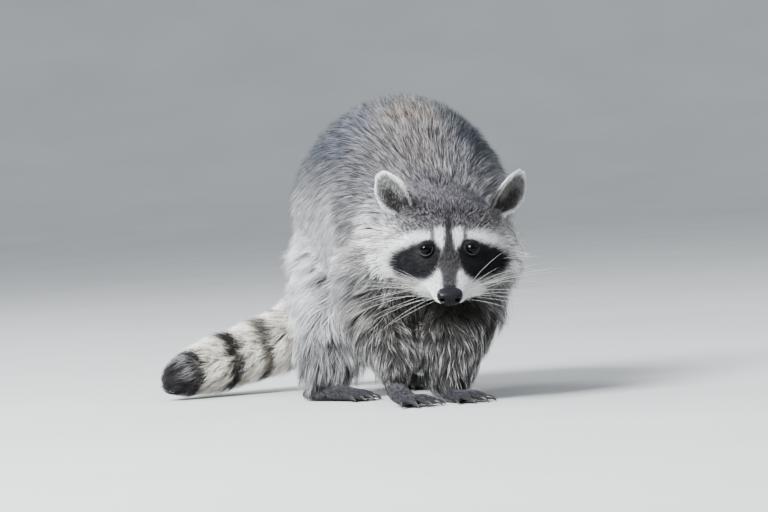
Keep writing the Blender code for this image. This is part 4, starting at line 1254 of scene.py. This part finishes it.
for name, chosen_quads, maker, slot in lengths_of_coat:
    # Each length keeps a flat unwrap of the hide it grows on.
    picked = np.flatnonzero(chosen_quads)
    used, local = np.unique(quads[picked], return_inverse=True)
    unwrap = new_object(name + "_unwrap", mesh_of(name + "_unwrap", hide[used], local.reshape(-1, 4)))
    bpy.context.view_layer.objects.active = unwrap
    unwrap.select_set(True)
    bpy.ops.object.mode_set(mode="EDIT")
    bpy.ops.mesh.select_all(action="SELECT")
    bpy.ops.uv.smart_project(angle_limit=math.radians(66), island_margin=0.004)
    bpy.ops.object.mode_set(mode="OBJECT")
    spread = np.zeros(len(picked) * 8)
    unwrap.data.uv_layers.active.data.foreach_get("uv", spread)
    spread = spread.reshape(-1, 4, 2)
    bpy.data.objects.remove(unwrap)

    # Its roots carry all that the tufts need: their curve, width, colours and place on the unwrap.
    rank = np.full(len(quads), -1)
    rank[picked] = np.arange(len(picked))
    mine = np.flatnonzero(rank[root_quad] >= 0)
    corner_uv = spread[rank[root_quad[mine]][:, None], corner_of_quad[tri[mine]]]
    place = (corner_uv * weights[mine][:, :, None]).sum(axis=1)
    sown = mesh_of(name + "_roots", roots[mine], [])
    with_values(sown, "root", roots[mine], "FLOAT_VECTOR")
    with_values(sown, "bend", bends[mine], "FLOAT_VECTOR")
    with_values(sown, "tip", tips[mine], "FLOAT_VECTOR")
    with_values(sown, "side", root_side[mine], "FLOAT_VECTOR")
    with_values(sown, "place", np.column_stack([place, np.zeros(len(mine))]), "FLOAT_VECTOR")
    with_values(sown, "thick", tuft_width[mine] / 2)
    with_values(sown, "lot", luck[mine])
    with_values(sown, "deep_colour", opaque(deep[mine]), "FLOAT_COLOR")
    with_values(sown, "middle_colour", opaque(middle[mine]), "FLOAT_COLOR")
    with_values(sown, "tip_colour", opaque(tip_colour[mine]), "FLOAT_COLOR")
    length_of_coat = new_object(name, sown)
    grow_tufts(length_of_coat, maker)
    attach(length_of_coat, "root")

# --- Whiskers -----------------------------------------------------------------------------------------
# Long white bristles, round, stiff and drawn out to a point. Five rows fan out from each whisker pad, and
# a few more stand over each eye and on each cheek.

bristle, tree, shader = finish("whisker_bristle", Roughness=0.35, Specular_IOR_Level=0.5)
along_hair = Wire.node(tree, "ShaderNodeAttribute", attribute_name="along", out="Fac")
mottle = grain(tree, 300.0, 2.0)
tone = Wire.node(tree, "ShaderNodeValToRGB", {0: along_hair + (mottle - 0.5) * 0.1}, stops=[
    (0.0, (0.35, 0.34, 0.33, 1)), (0.1, (0.85, 0.85, 0.84, 1)), (1.0, (0.95, 0.95, 0.94, 1))])
wired(shader, Base_Color=tone)
# Rows on the pad from the top: degrees of rise, how many whiskers, and the longest in mm.
pad_rows = ((34, 2, 74), (20, 3, 92), (8, 4, 100), (-4, 4, 96), (-15, 3, 78))
# Single whiskers over the eye and on the cheek: place, degrees of rise, and length in mm.
lone_whiskers = ((19, 0, 15, 58, 38), (24, 2, 14, 46, 34), (56, 14, -20, 4, 46), (58, 16, -26, -12, 42))
pad_whisker, lone_whisker = 0.17, 0.14
whisker_roots = []
for side in (-1, 1):
    for row, (rise, count, longest) in enumerate(pad_rows):
        for i in range(count):
            root = placed(skull, [(side * (15 + 3 * i), -42 + 6 * i, -25.5 - 3.0 * row)])[0]
            angle = math.radians(rise + 6 * side + 5 * rng.normal())
            back = 0.03 + 0.10 * i + 0.05 * rng.normal()
            long = longest * (0.70 + 0.13 * i) * (1 + 0.08 * rng.normal())
            whisker_roots.append((root, (side * math.cos(angle), back, math.sin(angle)), long, pad_whisker))
    for x, y, z, rise, long in lone_whiskers:
        root = placed(skull, [(side * x, y, z)])[0]
        angle = math.radians(rise)
        whisker_roots.append((root, (side * math.cos(angle), -0.15, math.sin(angle)), long, lone_whisker))
curves = {"root": [], "bend": [], "tip": [], "side": [], "place": []}
for i, (root, way, long, thick) in enumerate(whisker_roots):
    root = np.array(hide_tree.find_nearest(Vector(root))[0])
    way = unit(pointed(stance, [way])[0])
    sag = long * (0.05 + 0.10 * rng.random())
    curves["root"].append(root - 1.0 * MM * way)
    curves["bend"].append(root + way * long * 0.55 * MM + np.array((0, 0, 0.35 * sag * MM)))
    curves["tip"].append(root + way * long * MM - np.array((0, 0, sag * MM)))
    curves["side"].append(unit(np.cross(way, (0, 0, 1))))
    curves["place"].append((0.1 + 0.8 * i / len(whisker_roots), 0.5, 0))
sown = mesh_of("whisker_roots", curves["root"], [])
for label, rows in curves.items():
    with_values(sown, label, rows, "FLOAT_VECTOR")
# A tuft is 0.55 as wide as it is told at its root and 0.70 where it is widest. Whiskers go by the mean.
with_values(sown, "thick", [0.5 * thick * MM / 0.62 for *_, thick in whisker_roots])
whiskers = new_object("whiskers", sown)
grow_tufts(whiskers, tuft_maker("whisker_maker", 12), Hair=bristle, Flatness=1.0)
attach(whiskers, "root")

# --- Hide's finish ------------------------------------------------------------------------------------
# Supple leather with a fine nap. It takes the colours of the hair that stands on it, a little darker in
# the grain, so that no pale skin shines between the tufts.

hide_mesh = mesh_of("hide", hide, quads)
with_values(hide_mesh, "hide_colour", opaque(hide_colours[0] * 0.45 + hide_colours[1] * 0.55), "FLOAT_COLOR")
hide_piece = new_object("hide", hide_mesh)
leather, tree, shader = finish("hide_leather", Roughness=0.75, Specular_IOR_Level=0.2)
nap = grain(tree, 700.0, 4.0, Roughness=0.65)
base = Wire.node(tree, "ShaderNodeAttribute", attribute_name="hide_colour", out="Color")
shaded = joined_colour(tree, soft_step(tree, 0.35, 0.7, nap), (0.02, 0.017, 0.016, 1), base)
bump = Wire.node(tree, "ShaderNodeBump", {"Height": nap, "Strength": 0.5, "Distance": 0.0006})
wired(shader, Base_Color=joined_colour(tree, 0.7, base, shaded), Normal=bump)
hide_mesh.materials.append(leather)
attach(hide_piece, "root")
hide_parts(*flesh)
